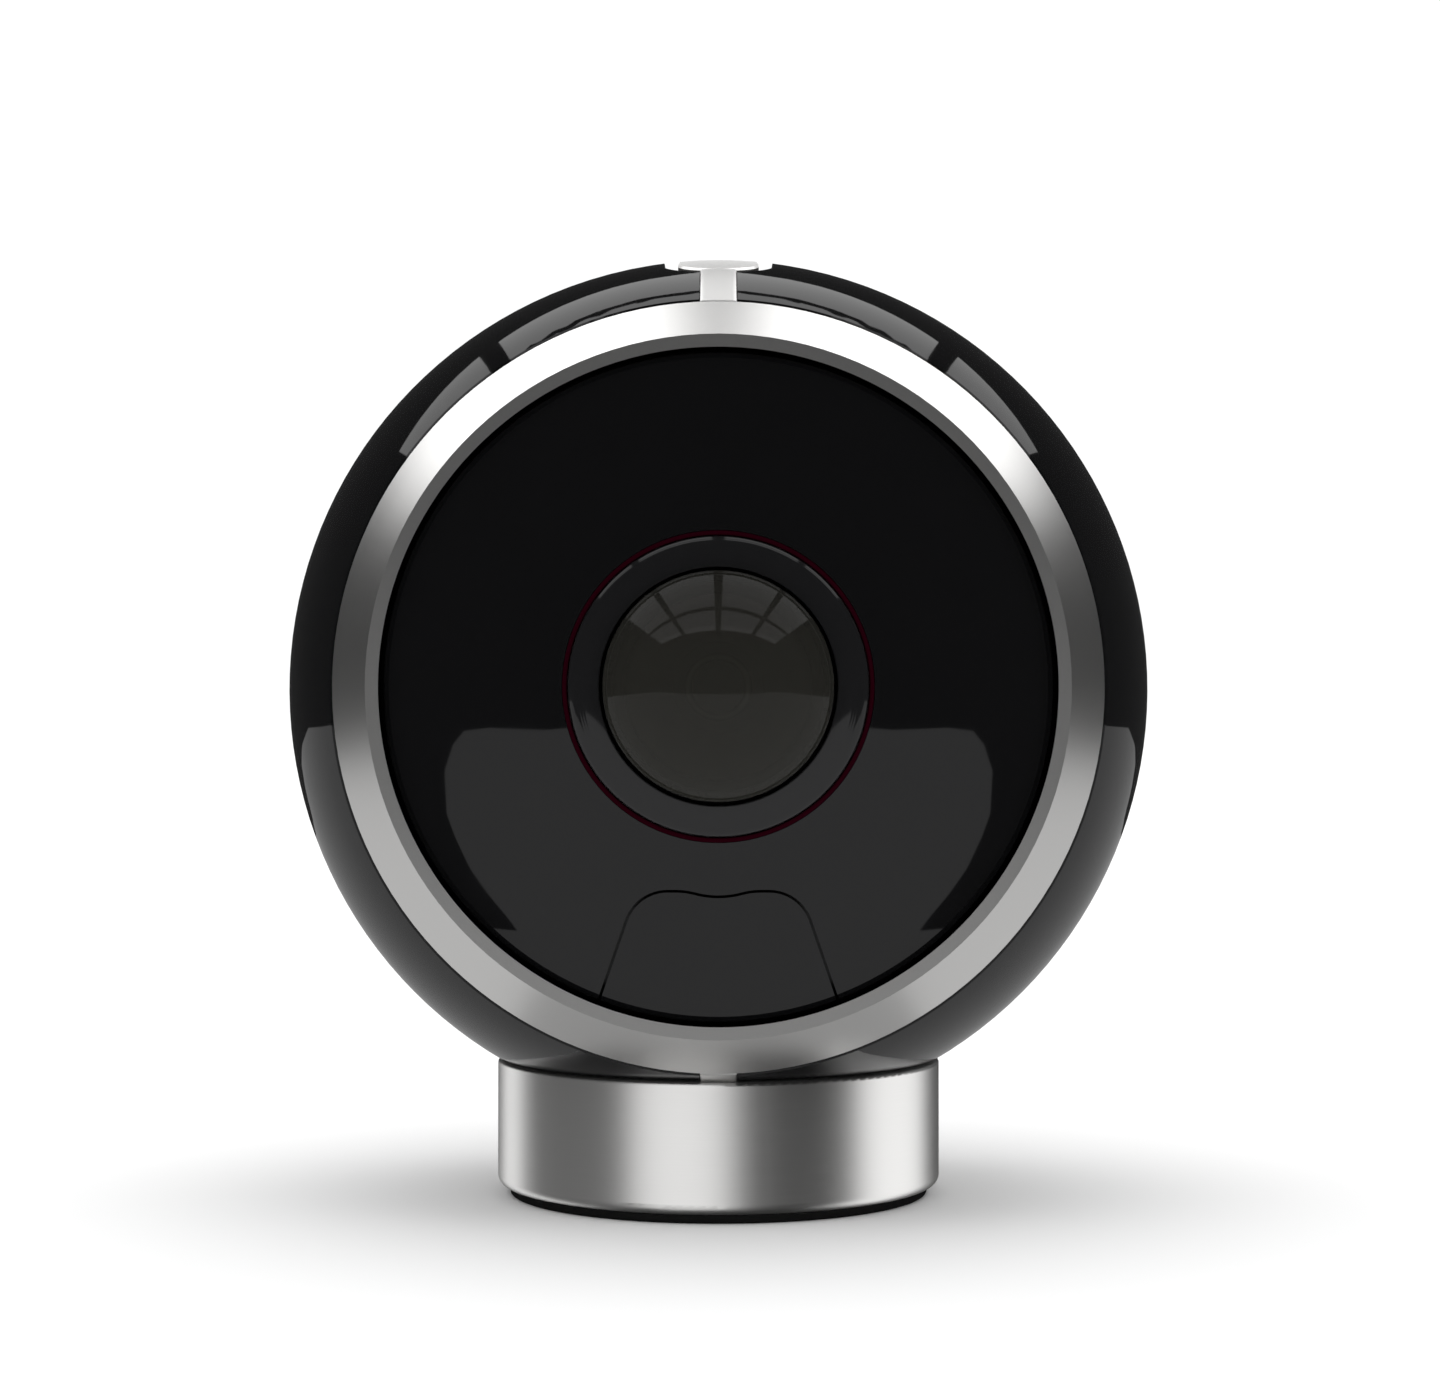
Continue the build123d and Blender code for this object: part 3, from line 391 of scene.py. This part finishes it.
def circuit_board_finish():
    """Green solder mask over copper tracks."""
    tracks_per_block, track_share = 6.0, 0.35
    finish = Finish("circuit_board")
    finish.constant(IOR=GLOSS_IOR)
    blocks = finish.node("ShaderNodeTexVoronoi", Vector=finish.place, Scale=420.0)
    blocks.distance = "MANHATTAN"
    steps = finish.math("FRACT", finish.math("MULTIPLY", blocks.outputs[0], tracks_per_block))
    tracks = finish.math("LESS_THAN", steps, track_share)
    finish.feed(
        Base_Color=finish.blend(tracks, (0.010, 0.075, 0.030), (0.022, 0.130, 0.052)),
        Roughness=finish.ramp(finish.noise(600.0), 0.3, 0.42),
    )
    finish.bump(tracks, 0.02 * MM)
    return finish.material


# Speckled finishes of inner pieces: colour, its spread, speckle scale, roughness, its spread,
# metal and height of the grain in millimetres
SPECKLES = {
    "black_plastic": ((0.012, 0.012, 0.012), 0.2, 900.0, 0.5, 0.08, 0.0, 0.01),
    "cast_iron": ((0.09, 0.088, 0.085), 0.25, 700.0, 0.62, 0.1, 0.6, 0.05),
    "brass": ((0.72, 0.50, 0.20), 0.08, 800.0, 0.28, 0.06, 1.0, 0.004),
    "white_acetal": ((0.72, 0.72, 0.70), 0.03, 500.0, 0.42, 0.05, 0.0, 0.004),
    "screw_steel": ((0.55, 0.55, 0.56), 0.08, 1500.0, 0.3, 0.06, 1.0, 0.002),
    "socket_steel": ((0.62, 0.62, 0.61), 0.05, 1200.0, 0.3, 0.05, 1.0, 0.002),
    "chassis_metal": ((0.50, 0.50, 0.50), 0.08, 600.0, 0.48, 0.07, 1.0, 0.015),
    "heat_sink_metal": ((0.035, 0.035, 0.037), 0.12, 900.0, 0.45, 0.06, 0.5, 0.006),
    "spring_steel": ((0.40, 0.40, 0.41), 0.06, 1400.0, 0.3, 0.05, 1.0, 0.002),
    "card_plastic": ((0.010, 0.010, 0.011), 0.15, 1200.0, 0.42, 0.06, 0.0, 0.004),
}


def inner_finishes():
    """Finishes of the pieces inside, by slot."""
    made = {slot: speckled(slot, *look[:-1], look[-1] * MM) for slot, look in SPECKLES.items()}
    chip_colour = (0.03, 0.035, 0.05)
    made["sensor_chip"] = speckled("sensor_chip", chip_colour, 0.3, 2500.0, 0.18, 0.04, IOR=1.6)
    made["circuit_board"] = circuit_board_finish()
    made["inner_glass"] = inner_glass_finish()
    made["lens_black"] = barrel_finish()
    return made


finishes = {}
dressed = {}


def finish_of(slot):
    """The finish of a material slot, made when it is first asked for."""
    if not finishes:
        looks = bpy.context.scene.camera_finishes
        finishes.update(inner_finishes())
        finishes["gloss_black"] = gloss_black_finish(looks)
        finishes["blasted_metal"] = blasted_metal_finish(looks)
        finishes["brushed_steel"] = brushed_steel_finish(looks)
        finishes["grey_collar"] = collar_finish(looks)
        finishes["red_accent"] = speckled(
            "red_accent", looks.accent_red, 0.08, 800.0, 0.5, 0.05, Specular_IOR_Level=0.0
        )
        finishes["rubber"] = speckled(
            "rubber", looks.rubber, 0.2, 1600.0, 0.75, 0.1, bump=0.02 * MM
        )
        finishes["dome_glass"] = dome_glass_finish()
    return finishes[slot]


node_slots = {name: nodes[name].data.materials[0].name.split(".")[0] for name in nodes}


def dress(*names):
    """Gives CAD nodes the finish of their slot."""
    for name in names:
        for slot in nodes[name].material_slots:
            slot.material = finish_of(node_slots[name])
        dressed[name] = nodes[name]


# Modelling


def draw_line(name, points, closed=True):
    """Starts a piece as a line through points, left in edit mode."""
    bpy.ops.object.select_all(action="DESELECT")
    bpy.ops.mesh.primitive_plane_add(size=MM, location=points[0])
    bpy.context.object.name = name
    bpy.ops.object.mode_set(mode="EDIT")
    bpy.ops.mesh.select_all(action="SELECT")
    bpy.ops.mesh.merge(type="CENTER")
    ends = points[1:] + points[:1] if closed else points[1:]
    for last, spot in zip(points, ends):
        bpy.ops.mesh.extrude_region_move(TRANSFORM_OT_translate={"value": spot - last})
    close_up()


def close_up():
    """Merges what lies together and turns all faces outwards."""
    bpy.ops.mesh.select_all(action="SELECT")
    bpy.ops.mesh.remove_doubles(threshold=TOUCH)
    bpy.ops.mesh.normals_make_consistent(inside=False)


def turn_round(axis, middle, steps):
    """Spins the drawn line all the way round an axis."""
    bpy.ops.mesh.select_all(action="SELECT")
    bpy.ops.mesh.spin(steps=steps, angle=2 * math.pi, center=middle, axis=axis)
    close_up()


def round_edges(width):
    """Rounds the sharp edges of the piece in hand."""
    bpy.ops.object.modifier_add(type="BEVEL")
    edge = bpy.context.object.modifiers[-1]
    edge.width = width
    edge.segments = EDGE_SEGMENTS
    edge.limit_method = "ANGLE"
    edge.angle_limit = SHARP_ANGLE
    bpy.ops.object.modifier_apply(modifier=edge.name)


def settle(node, body, edge_round=0.0):
    """Ends edit mode, puts the piece's place in its mesh and lets it stand for a CAD node."""
    bpy.ops.object.mode_set(mode="OBJECT")
    bpy.ops.object.transform_apply(location=True, rotation=True, scale=True)
    if edge_round:
        round_edges(edge_round)
    bpy.ops.object.shade_smooth_by_angle(angle=SMOOTH_ANGLE)
    piece = bpy.context.object
    slot = node_slots[node]
    piece.data.materials.append(finish_of(slot))
    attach(piece, body)
    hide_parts(node)
    dressed[node] = piece


def lens_point(side, radius, out):
    """A point of a lens's half section: off its axis, and out from the ball's middle."""
    return ball_middle + Vector((radius, -out if side == "front" else out, 0.0))


def reach_of(side, node):
    """How far in and out a lens piece reaches, and its radius."""
    low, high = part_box(f"{side}_{node}")
    ends = sorted(abs(end) for end in (low[1], high[1]))
    return ends[0], ends[1], high[0]


def rounded(corners):
    """The points of a closed section whose corners (radius, out, round) are rounded off."""
    spots = []
    for i, (radius, out, amount) in enumerate(corners):
        here = Vector((radius, out))
        if not amount:
            spots.append(here)
            continue
        before = (Vector(corners[i - 1][:2]) - here).normalized()
        after = (Vector(corners[(i + 1) % len(corners)][:2]) - here).normalized()
        half = before.angle(after) / 2
        middle = here + (before + after).normalized() * (amount / math.sin(half))
        first = here + before * (amount / math.tan(half)) - middle
        last = here + after * (amount / math.tan(half)) - middle
        for step in range(CORNER_STEPS + 1):
            spoke = first.slerp(last, step / CORNER_STEPS).normalized()
            spots.append(middle + spoke * amount)
    return spots


def bowl(middle, curve, start, end, steps):
    """Points (radius, out) on a sphere about the lens axis, between two radii."""
    first, last = math.asin(start / curve), math.asin(end / curve)
    turns = [first + (last - first) * step / steps for step in range(steps + 1)]
    return [Vector((curve * math.sin(turn), middle + curve * math.cos(turn))) for turn in turns]


# Operators


class CAMERA_OT_shells(Operator):
    """Finish the two halves of the ball and its metal rings"""

    bl_idname = "camera.shells"
    bl_label = "Shells and rings"

    def execute(self, context):
        dress("left_shell", "right_shell", *(f"{side}_ring" for side in SIDES))
        return {"FINISHED"}


class CAMERA_OT_bezels(Operator):
    """Finish the domed bezels and the port cover in the front one"""

    bl_idname = "camera.bezels"
    bl_label = "Bezels and port cover"

    def execute(self, context):
        dress("port_cover", *(f"{side}_bezel" for side in SIDES))
        return {"FINISHED"}


class CAMERA_OT_strips(Operator):
    """Make the four metal strips that lie over the seam of the shells"""

    bl_idname = "camera.strips"
    bl_label = "Metal strips"

    half_steps = 4
    turn_steps = 96
    spare_turn = math.radians(4)

    def execute(self, context):
        for side in SIDES:
            for place in ("top", "bottom"):
                self.make(side, place, context.scene.trim_sizes)
        return {"FINISHED"}

    def make(self, side, place, sizes):
        node = f"{side}_{place}_strip"
        low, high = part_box(node)
        half = high[0]
        up = 1 if place == "top" else -1
        way = -1 if side == "front" else 1
        near, far = sorted(abs(end) for end in (low[1], high[1]))
        spread = [half * (step / self.half_steps - 1) for step in range(2 * self.half_steps + 1)]
        section = [(x, math.sqrt(ball_radius**2 - x * x)) for x in spread]
        under = ball_radius - sizes.strip_depth
        section += [(half, under), (-half, under)]
        points = [ball_middle + Vector((x, 0, up * z)) for x, z in section]
        draw_line(f"{side}_{place}_trim", points)
        bpy.ops.mesh.edge_face_add()
        bpy.ops.mesh.select_all(action="SELECT")
        turn = (math.asin(far / ball_radius) + self.spare_turn) * up * way
        bpy.ops.mesh.spin(steps=self.turn_steps, angle=turn, center=ball_middle, axis=(1, 0, 0))
        for end, outwards in ((near, -1), (far, 1)):
            bpy.ops.mesh.select_all(action="SELECT")
            bpy.ops.mesh.bisect(
                plane_co=(0, way * end, 0),
                plane_no=(0, way * outwards, 0),
                use_fill=True,
                clear_outer=True,
            )
        close_up()
        settle(node, "head", sizes.strip_round)


class CAMERA_OT_lenses(Operator):
    """Turn the collar, the red ring and the glass dome of each lens"""

    bl_idname = "camera.lenses"
    bl_label = "Lens collars and domes"

    groove_places = (0.52, 0.6, 0.68)
    groove_half = 0.05 * MM
    outer_steps = 40
    inner_steps = 32

    def execute(self, context):
        sizes = context.scene.lens_sizes
        for side in SIDES:
            self.make_collar(side, sizes)
            self.make_accent(side, sizes)
            self.make_dome(side, sizes)
            dress(*(f"{side}_{inner}" for inner in ("lens_barrel", "inner_lens")))
        return {"FINISHED"}

    def turn(self, side, piece, section, sizes, closed=True):
        draw_line(f"{side}_{piece}", [lens_point(side, *spot) for spot in section], closed)
        turn_round((0, 1, 0), ball_middle, sizes.steps)

    def make_collar(self, side, sizes):
        back, front, flange = reach_of(side, "lens_collar")
        bore, outside, small = sizes.collar_bore, sizes.collar_radius, sizes.edge_round

        def face(radius):
            return front - (radius - bore) * sizes.collar_tilt

        section = rounded(
            [
                (bore, front, small),
                (outside, face(outside), sizes.collar_round),
                (outside, back + sizes.collar_flange, 0),
                (flange, back + sizes.collar_flange, small),
                (flange, back, small),
                (bore, back, 0),
            ]
        )
        grooves = []
        for place in self.groove_places:
            radius = bore + (outside - bore) * place
            for step, depth in ((-1, 0), (0, sizes.groove_depth), (1, 0)):
                spot = radius + step * self.groove_half
                grooves.append(Vector((spot, face(spot) - depth)))
        lip = CORNER_STEPS + 1
        self.turn(side, "collar", section[:lip] + grooves + section[lip:], sizes)
        settle(f"{side}_lens_collar", "head")

    def make_accent(self, side, sizes):
        back, front, radius = reach_of(side, "accent_ring")
        inside = radius - sizes.accent_wall
        small = sizes.edge_round
        corners = [
            (inside, back, 0),
            (inside, front, small),
            (radius, front, small),
            (radius, back, 0),
        ]
        self.turn(side, "red_ring", rounded(corners), sizes)
        settle(f"{side}_accent_ring", "head")

    def make_dome(self, side, sizes):
        seat, apex, radius = reach_of(side, "dome_glass")
        curve = (radius**2 + sizes.glass_bulge**2) / (2 * sizes.glass_bulge)
        hollow = radius - sizes.glass_wall
        depth = apex - sizes.glass_wall - seat
        inner = (hollow**2 + depth**2) / (2 * depth)
        section = bowl(apex - curve, curve, 0.0, radius, self.outer_steps)
        section += [Vector((radius, seat))]
        section += bowl(seat + depth - inner, inner, hollow, 0.0, self.inner_steps)
        self.turn(side, "glass", section, sizes, closed=False)
        settle(f"{side}_dome_glass", "head", sizes.edge_round)


class CAMERA_OT_button(Operator):
    """Finish the bar that is pressed on the top of the ball"""

    bl_idname = "camera.button"
    bl_label = "Top bar"

    def execute(self, context):
        dress("top_button", "button_clip")
        return {"FINISHED"}


class CAMERA_OT_base(Operator):
    """Finish the steel base and turn its rubber foot"""

    bl_idname = "camera.base"
    bl_label = "Base and foot"

    groove_places = (0.8, 0.55)
    foot_steps = 128

    def execute(self, context):
        sizes = context.scene.trim_sizes
        dress("base_shell")
        radius, _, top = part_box("foot_pad")[1]
        soft, wide, deep = sizes.foot_round, sizes.groove_width, sizes.groove_depth
        corners = [(FOOT_BORE, top, 0), (radius, top, soft), (radius, 0, soft)]
        for place in self.groove_places:
            near = radius * place
            far = near + wide
            corners += [(far, 0, 0), (far, deep, 0), (near, deep, 0), (near, 0, 0)]
        corners += [(FOOT_BORE, 0, soft)]
        draw_line("foot", [Vector((x, 0, z)) for x, z in rounded(corners)])
        turn_round((0, 0, 1), (0, 0, 0), self.foot_steps)
        settle("foot_pad", "base")
        return {"FINISHED"}


class CAMERA_OT_inside(Operator):
    """Finish the boards, screws and other pieces inside"""

    bl_idname = "camera.inside"
    bl_label = "Inside pieces"

    def execute(self, context):
        dress(*(name for name in nodes if name not in dressed))
        return {"FINISHED"}


def pieces_of(*names):
    """The shown pieces that stand for nodes."""
    return [dressed[name] for name in names]


def pieces_in(*slots):
    """The shown pieces that have one of these finishes."""
    return [piece for name, piece in dressed.items() if node_slots[name] in slots]


def lens_pieces():
    """The outer pieces of both lenses."""
    return pieces_in("grey_collar", "dome_glass", "red_accent")


def link_to(light, receivers):
    """Lets a light reach only some pieces."""
    group = bpy.data.collections.new(light.name + "_lights")
    for piece in receivers:
        group.objects.link(piece)
    light.light_linking.receiver_collection = group


def hide_from_view(light):
    """Leaves a light to reflections alone."""
    light.visible_camera = False
    light.visible_transmission = False


def lamp(name, place, towards, sides, radiance, receivers, soft=False):
    """A rectangular light that reaches only some pieces and hides nothing."""
    data = bpy.data.lights.new(name, "AREA")
    data.shape = "RECTANGLE"
    data.size, data.size_y = sides
    data.energy = radiance * 4 * sides[0] * sides[1]
    made = bpy.data.objects.new(name, data)
    bpy.context.scene.collection.objects.link(made)
    made.location = place
    made.rotation_euler = Vector(towards).to_track_quat("-Z", "Y").to_euler()
    hide_from_view(made)
    made.visible_diffuse = soft
    link_to(made, receivers)


def glow(name, strength, clear=False):
    """A light panel's material, which the pieces that it doesn't light may see through."""
    material = bpy.data.materials.new(name)
    material.use_nodes = True
    tree = material.node_tree
    tree.nodes.remove(tree.nodes["Principled BSDF"])
    bulb = tree.nodes.new("ShaderNodeEmission")
    bulb.inputs["Strength"].default_value = strength
    result = bulb.outputs[0]
    if clear:
        both = tree.nodes.new("ShaderNodeAddShader")
        tree.links.new(result, both.inputs[0])
        tree.links.new(tree.nodes.new("ShaderNodeBsdfTransparent").outputs[0], both.inputs[1])
        result = both.outputs[0]
    tree.links.new(result, tree.nodes["Material Output"].inputs[0])
    return material


def panel(name, corners, material, receivers=None):
    """A flat light panel that only reflections see, lighting all pieces or only some."""
    mesh = bpy.data.meshes.new(name)
    mesh.from_pydata(corners, [], [tuple(range(len(corners)))])
    made = bpy.data.objects.new(name, mesh)
    bpy.context.scene.collection.objects.link(made)
    mesh.materials.append(material)
    hide_from_view(made)
    made.visible_diffuse = False
    made.visible_shadow = False
    if receivers:
        link_to(made, receivers)


# Directions of lights
UP = (0, 0, 1)
DOWN = (0, 0, -1)

# The softbox's panes from left to right and from near to far, as shares of its height; for the
# lenses the near row comes further forward
PANE_COLUMNS = ((-1.33, -0.7125), (-0.6275, -0.0425), (0.0425, 0.6275), (0.7125, 1.33))
PANE_ROWS = ((-0.84, -0.5), (-0.42, 0.69), (0.735, 1.25))
LENS_PANES_NEAR = -0.98

# Upright lights round the base: turn from the front and half width in degrees, and brightness
BASE_LIGHTS = ((-19, 26, 0.86), (-84, 28, 0.09), (-132, 13, 0.9), (102, 27, 0.95))
BASE_LIGHT_AWAY = 0.5
BASE_LIGHT_HEIGHT = 1.4

# Right halves of the pale cards on the floor that the shells and the bezels reflect, from far
# to near
SHELL_CARD = (
    (0.14, 2.0),
    (0.145, 0.37),
    (0.162, 0.32),
    (0.179, 0.336),
    (0.207, 0.388),
    (0.243, 0.442),
    (0.293, 0.517),
    (0.399, 0.593),
    (0.471, 0.593),
    (0.576, 0.63),
    (0.546, 0.305),
    (0.55, -0.46),
)
BEZEL_CARD = (
    (0.2, 0.2),
    (0.2, -0.06),
    (0.041, -0.061),
    (0.047, -0.066),
    (0.056, -0.073),
    (0.068, -0.083),
    (0.088, -0.102),
    (0.108, -0.122),
    (0.123, -0.14),
    (0.167, -0.192),
    (0.239, -0.291),
    (0.308, -0.4),
    (0.3, -0.45),
)


class CAMERA_OT_stage(Operator):
    """Set the floor, the softbox, the reflectors, the white surround and the camera"""

    bl_idname = "camera.stage"
    bl_label = "Set the stage"

    def execute(self, context):
        scene = context.scene
        studio = scene.studio_sizes
        scene.view_settings.view_transform = "Standard"
        self.set_world(scene, studio)
        self.set_floor(studio)
        self.set_softbox(studio)
        self.set_reflectors(studio)
        self.set_camera(scene, studio)
        return {"FINISHED"}

    def set_world(self, scene, studio):
        world = bpy.data.worlds.new("white_surround")
        scene.world = world
        world.use_nodes = True
        world.cycles.sampling_method = "NONE"
        tree = world.node_tree
        path = tree.nodes.new("ShaderNodeLightPath")
        rays = (
            ("Is Diffuse Ray", studio.fill_glow),
            ("Is Glossy Ray", studio.surround_glow),
            ("Is Transmission Ray", studio.inside_glow),
        )
        strength = None
        for ray, level in rays:
            blend = tree.nodes.new("ShaderNodeMix")
            factor, others, these = blend.inputs[0], blend.inputs[2], blend.inputs[3]
            others.default_value = studio.white_glow
            these.default_value = level
            tree.links.new(path.outputs[ray], factor)
            if strength:
                tree.links.new(strength, others)
            strength = blend.outputs[0]
        background = tree.nodes["Background"]
        background.inputs["Color"].default_value = (1, 1, 1, 1)
        tree.links.new(strength, background.inputs["Strength"])

    def set_floor(self, studio):
        bpy.ops.object.select_all(action="DESELECT")
        bpy.ops.mesh.primitive_plane_add(size=8.0, location=(0, 2.0, 0))
        floor = bpy.context.object
        floor.name = "floor"
        white = (0.985, 0.985, 0.985)
        floor.data.materials.append(
            speckled("pale_floor", white, 0.004, 3.0, 0.9, 0.02, Specular_IOR_Level=0.0)
        )
        floor.visible_glossy = False
        floor.visible_transmission = False
        lamp("floor_light", (0, 0.8, 9), DOWN, (16, 16), studio.floor_light, [floor], soft=True)

    def set_softbox(self, studio):
        high = studio.softbox_height
        top = ball_middle.z + high
        lens_near, lens_far = LENS_PANES_NEAR, PANE_ROWS[0][0]
        pane = glow("softbox_glow", studio.softbox_glow)
        for i, (left, right) in enumerate(PANE_COLUMNS):
            middle = ((left + right) / 2 * high, (lens_near + lens_far) / 2 * high, top)
            sides = ((right - left) * high, (lens_far - lens_near) * high)
            lamp(f"lens_pane_{i}", middle, DOWN, sides, studio.softbox_glow, lens_pieces())
            for j, (near, far) in enumerate(PANE_ROWS):
                spots = ((left, near), (left, far), (right, far), (right, near))
                panel(f"softbox_pane_{i}_{j}", [(x * high, y * high, top) for x, y in spots], pane)

    def set_reflectors(self, studio):
        shells = pieces_of("left_shell", "right_shell")
        bezels = pieces_of("front_bezel", "rear_bezel", "port_cover")
        base = pieces_of("base_shell")
        metals = pieces_in("blasted_metal")
        trims = pieces_of("top_button", *(name for name in nodes if name.endswith("_strip")))
        low = 0.2 * MM
        floor = studio.floor_glow
        lamp("lens_floor", (0, 0.77, low), UP, (1.1, 2.46), 0.79 * floor, lens_pieces())
        lamp("metal_floor", (0, 0.875, low), UP, (0.54, 2.25), 0.23, metals)
        lamp("metal_front", (0, -1.0, 0.3), (0, 1, 0), (2.5, 1.6), 0.037, metals + base)
        for i, side in enumerate((-1, 1)):
            lamp(f"metal_floor_{i}", (0.15 * side, 0.875, low), UP, (0.24, 2.25), 0.19, metals)
            lamp(f"ring_light_{i}", (0.555 * side, 0.2, 0.63), DOWN, (0.95, 0.8), 0.7, metals)
        lamp("trim_light", (0, 0.45, 0.65), DOWN, (0.4, 0.6), 0.5, trims)
        lamp("trim_back", (0, 1.5, 0.5), (0, -1, 0), (2.0, 0.9), 0.7, trims)
        self.card("shell_reflector", SHELL_CARD, 2 * low, 0.6 * floor, shells)
        self.card("bezel_reflector", BEZEL_CARD, low, floor, bezels)
        for i, (turn, half, strength) in enumerate(BASE_LIGHTS):
            angle = math.radians(turn)
            away = Vector((math.sin(angle), -math.cos(angle), 0))
            width = 2 * BASE_LIGHT_AWAY * math.tan(math.radians(half))
            sides = (width, BASE_LIGHT_HEIGHT)
            lamp(f"base_strip_{i}", away * BASE_LIGHT_AWAY, -away, sides, strength, base)

    def card(self, name, edge, high, strength, receivers):
        """A pale card on the floor, alike left and right, that only some pieces reflect."""
        outline = [*edge, *((-x, y) for x, y in reversed(edge))]
        corners = [(x, y, high) for x, y in outline]
        panel(name, corners, glow(name, strength, clear=True), receivers)

    def set_camera(self, scene, studio):
        lens = bpy.data.cameras.new("camera")
        lens.lens = studio.camera_lens
        lens.sensor_width = 36.0
        lens.sensor_fit = "HORIZONTAL"
        lens.clip_start = 0.01
        eye = bpy.data.objects.new("camera", lens)
        scene.collection.objects.link(eye)
        height = ball_middle.z - studio.camera_drop
        eye.location = (studio.camera_side, -studio.camera_distance, height)
        eye.rotation_euler = (math.pi / 2 + studio.camera_pitch, 0, 0)
        scene.camera = eye


class CAMERA_PT_pieces(Panel):
    """Lists the pieces of the camera"""

    bl_idname = "CAMERA_PT_pieces"
    bl_label = "Ball camera"
    bl_space_type = "VIEW_3D"
    bl_region_type = "UI"
    bl_category = "Ball camera"

    def draw(self, context):
        for step in STEPS:
            self.layout.operator(step.bl_idname)


STEPS = (
    CAMERA_OT_shells,
    CAMERA_OT_bezels,
    CAMERA_OT_strips,
    CAMERA_OT_lenses,
    CAMERA_OT_button,
    CAMERA_OT_base,
    CAMERA_OT_inside,
    CAMERA_OT_stage,
)
GROUPS = {
    "camera_finishes": CameraFinishes,
    "lens_sizes": LensSizes,
    "trim_sizes": TrimSizes,
    "studio_sizes": StudioSizes,
}


def register():
    for group in GROUPS.values():
        bpy.utils.register_class(group)
    for name, group in GROUPS.items():
        setattr(bpy.types.Scene, name, PointerProperty(type=group))
    for step in STEPS:
        bpy.utils.register_class(step)
    bpy.utils.register_class(CAMERA_PT_pieces)


def unregister():
    bpy.utils.unregister_class(CAMERA_PT_pieces)
    for step in reversed(STEPS):
        bpy.utils.unregister_class(step)
    for name, group in GROUPS.items():
        delattr(bpy.types.Scene, name)
        bpy.utils.unregister_class(group)


def main():
    register()
    bpy.ops.object.select_all(action="DESELECT")
    for step in STEPS:
        group, name = step.bl_idname.split(".")
        getattr(getattr(bpy.ops, group), name)()


if __name__ == "__main__":
    main()
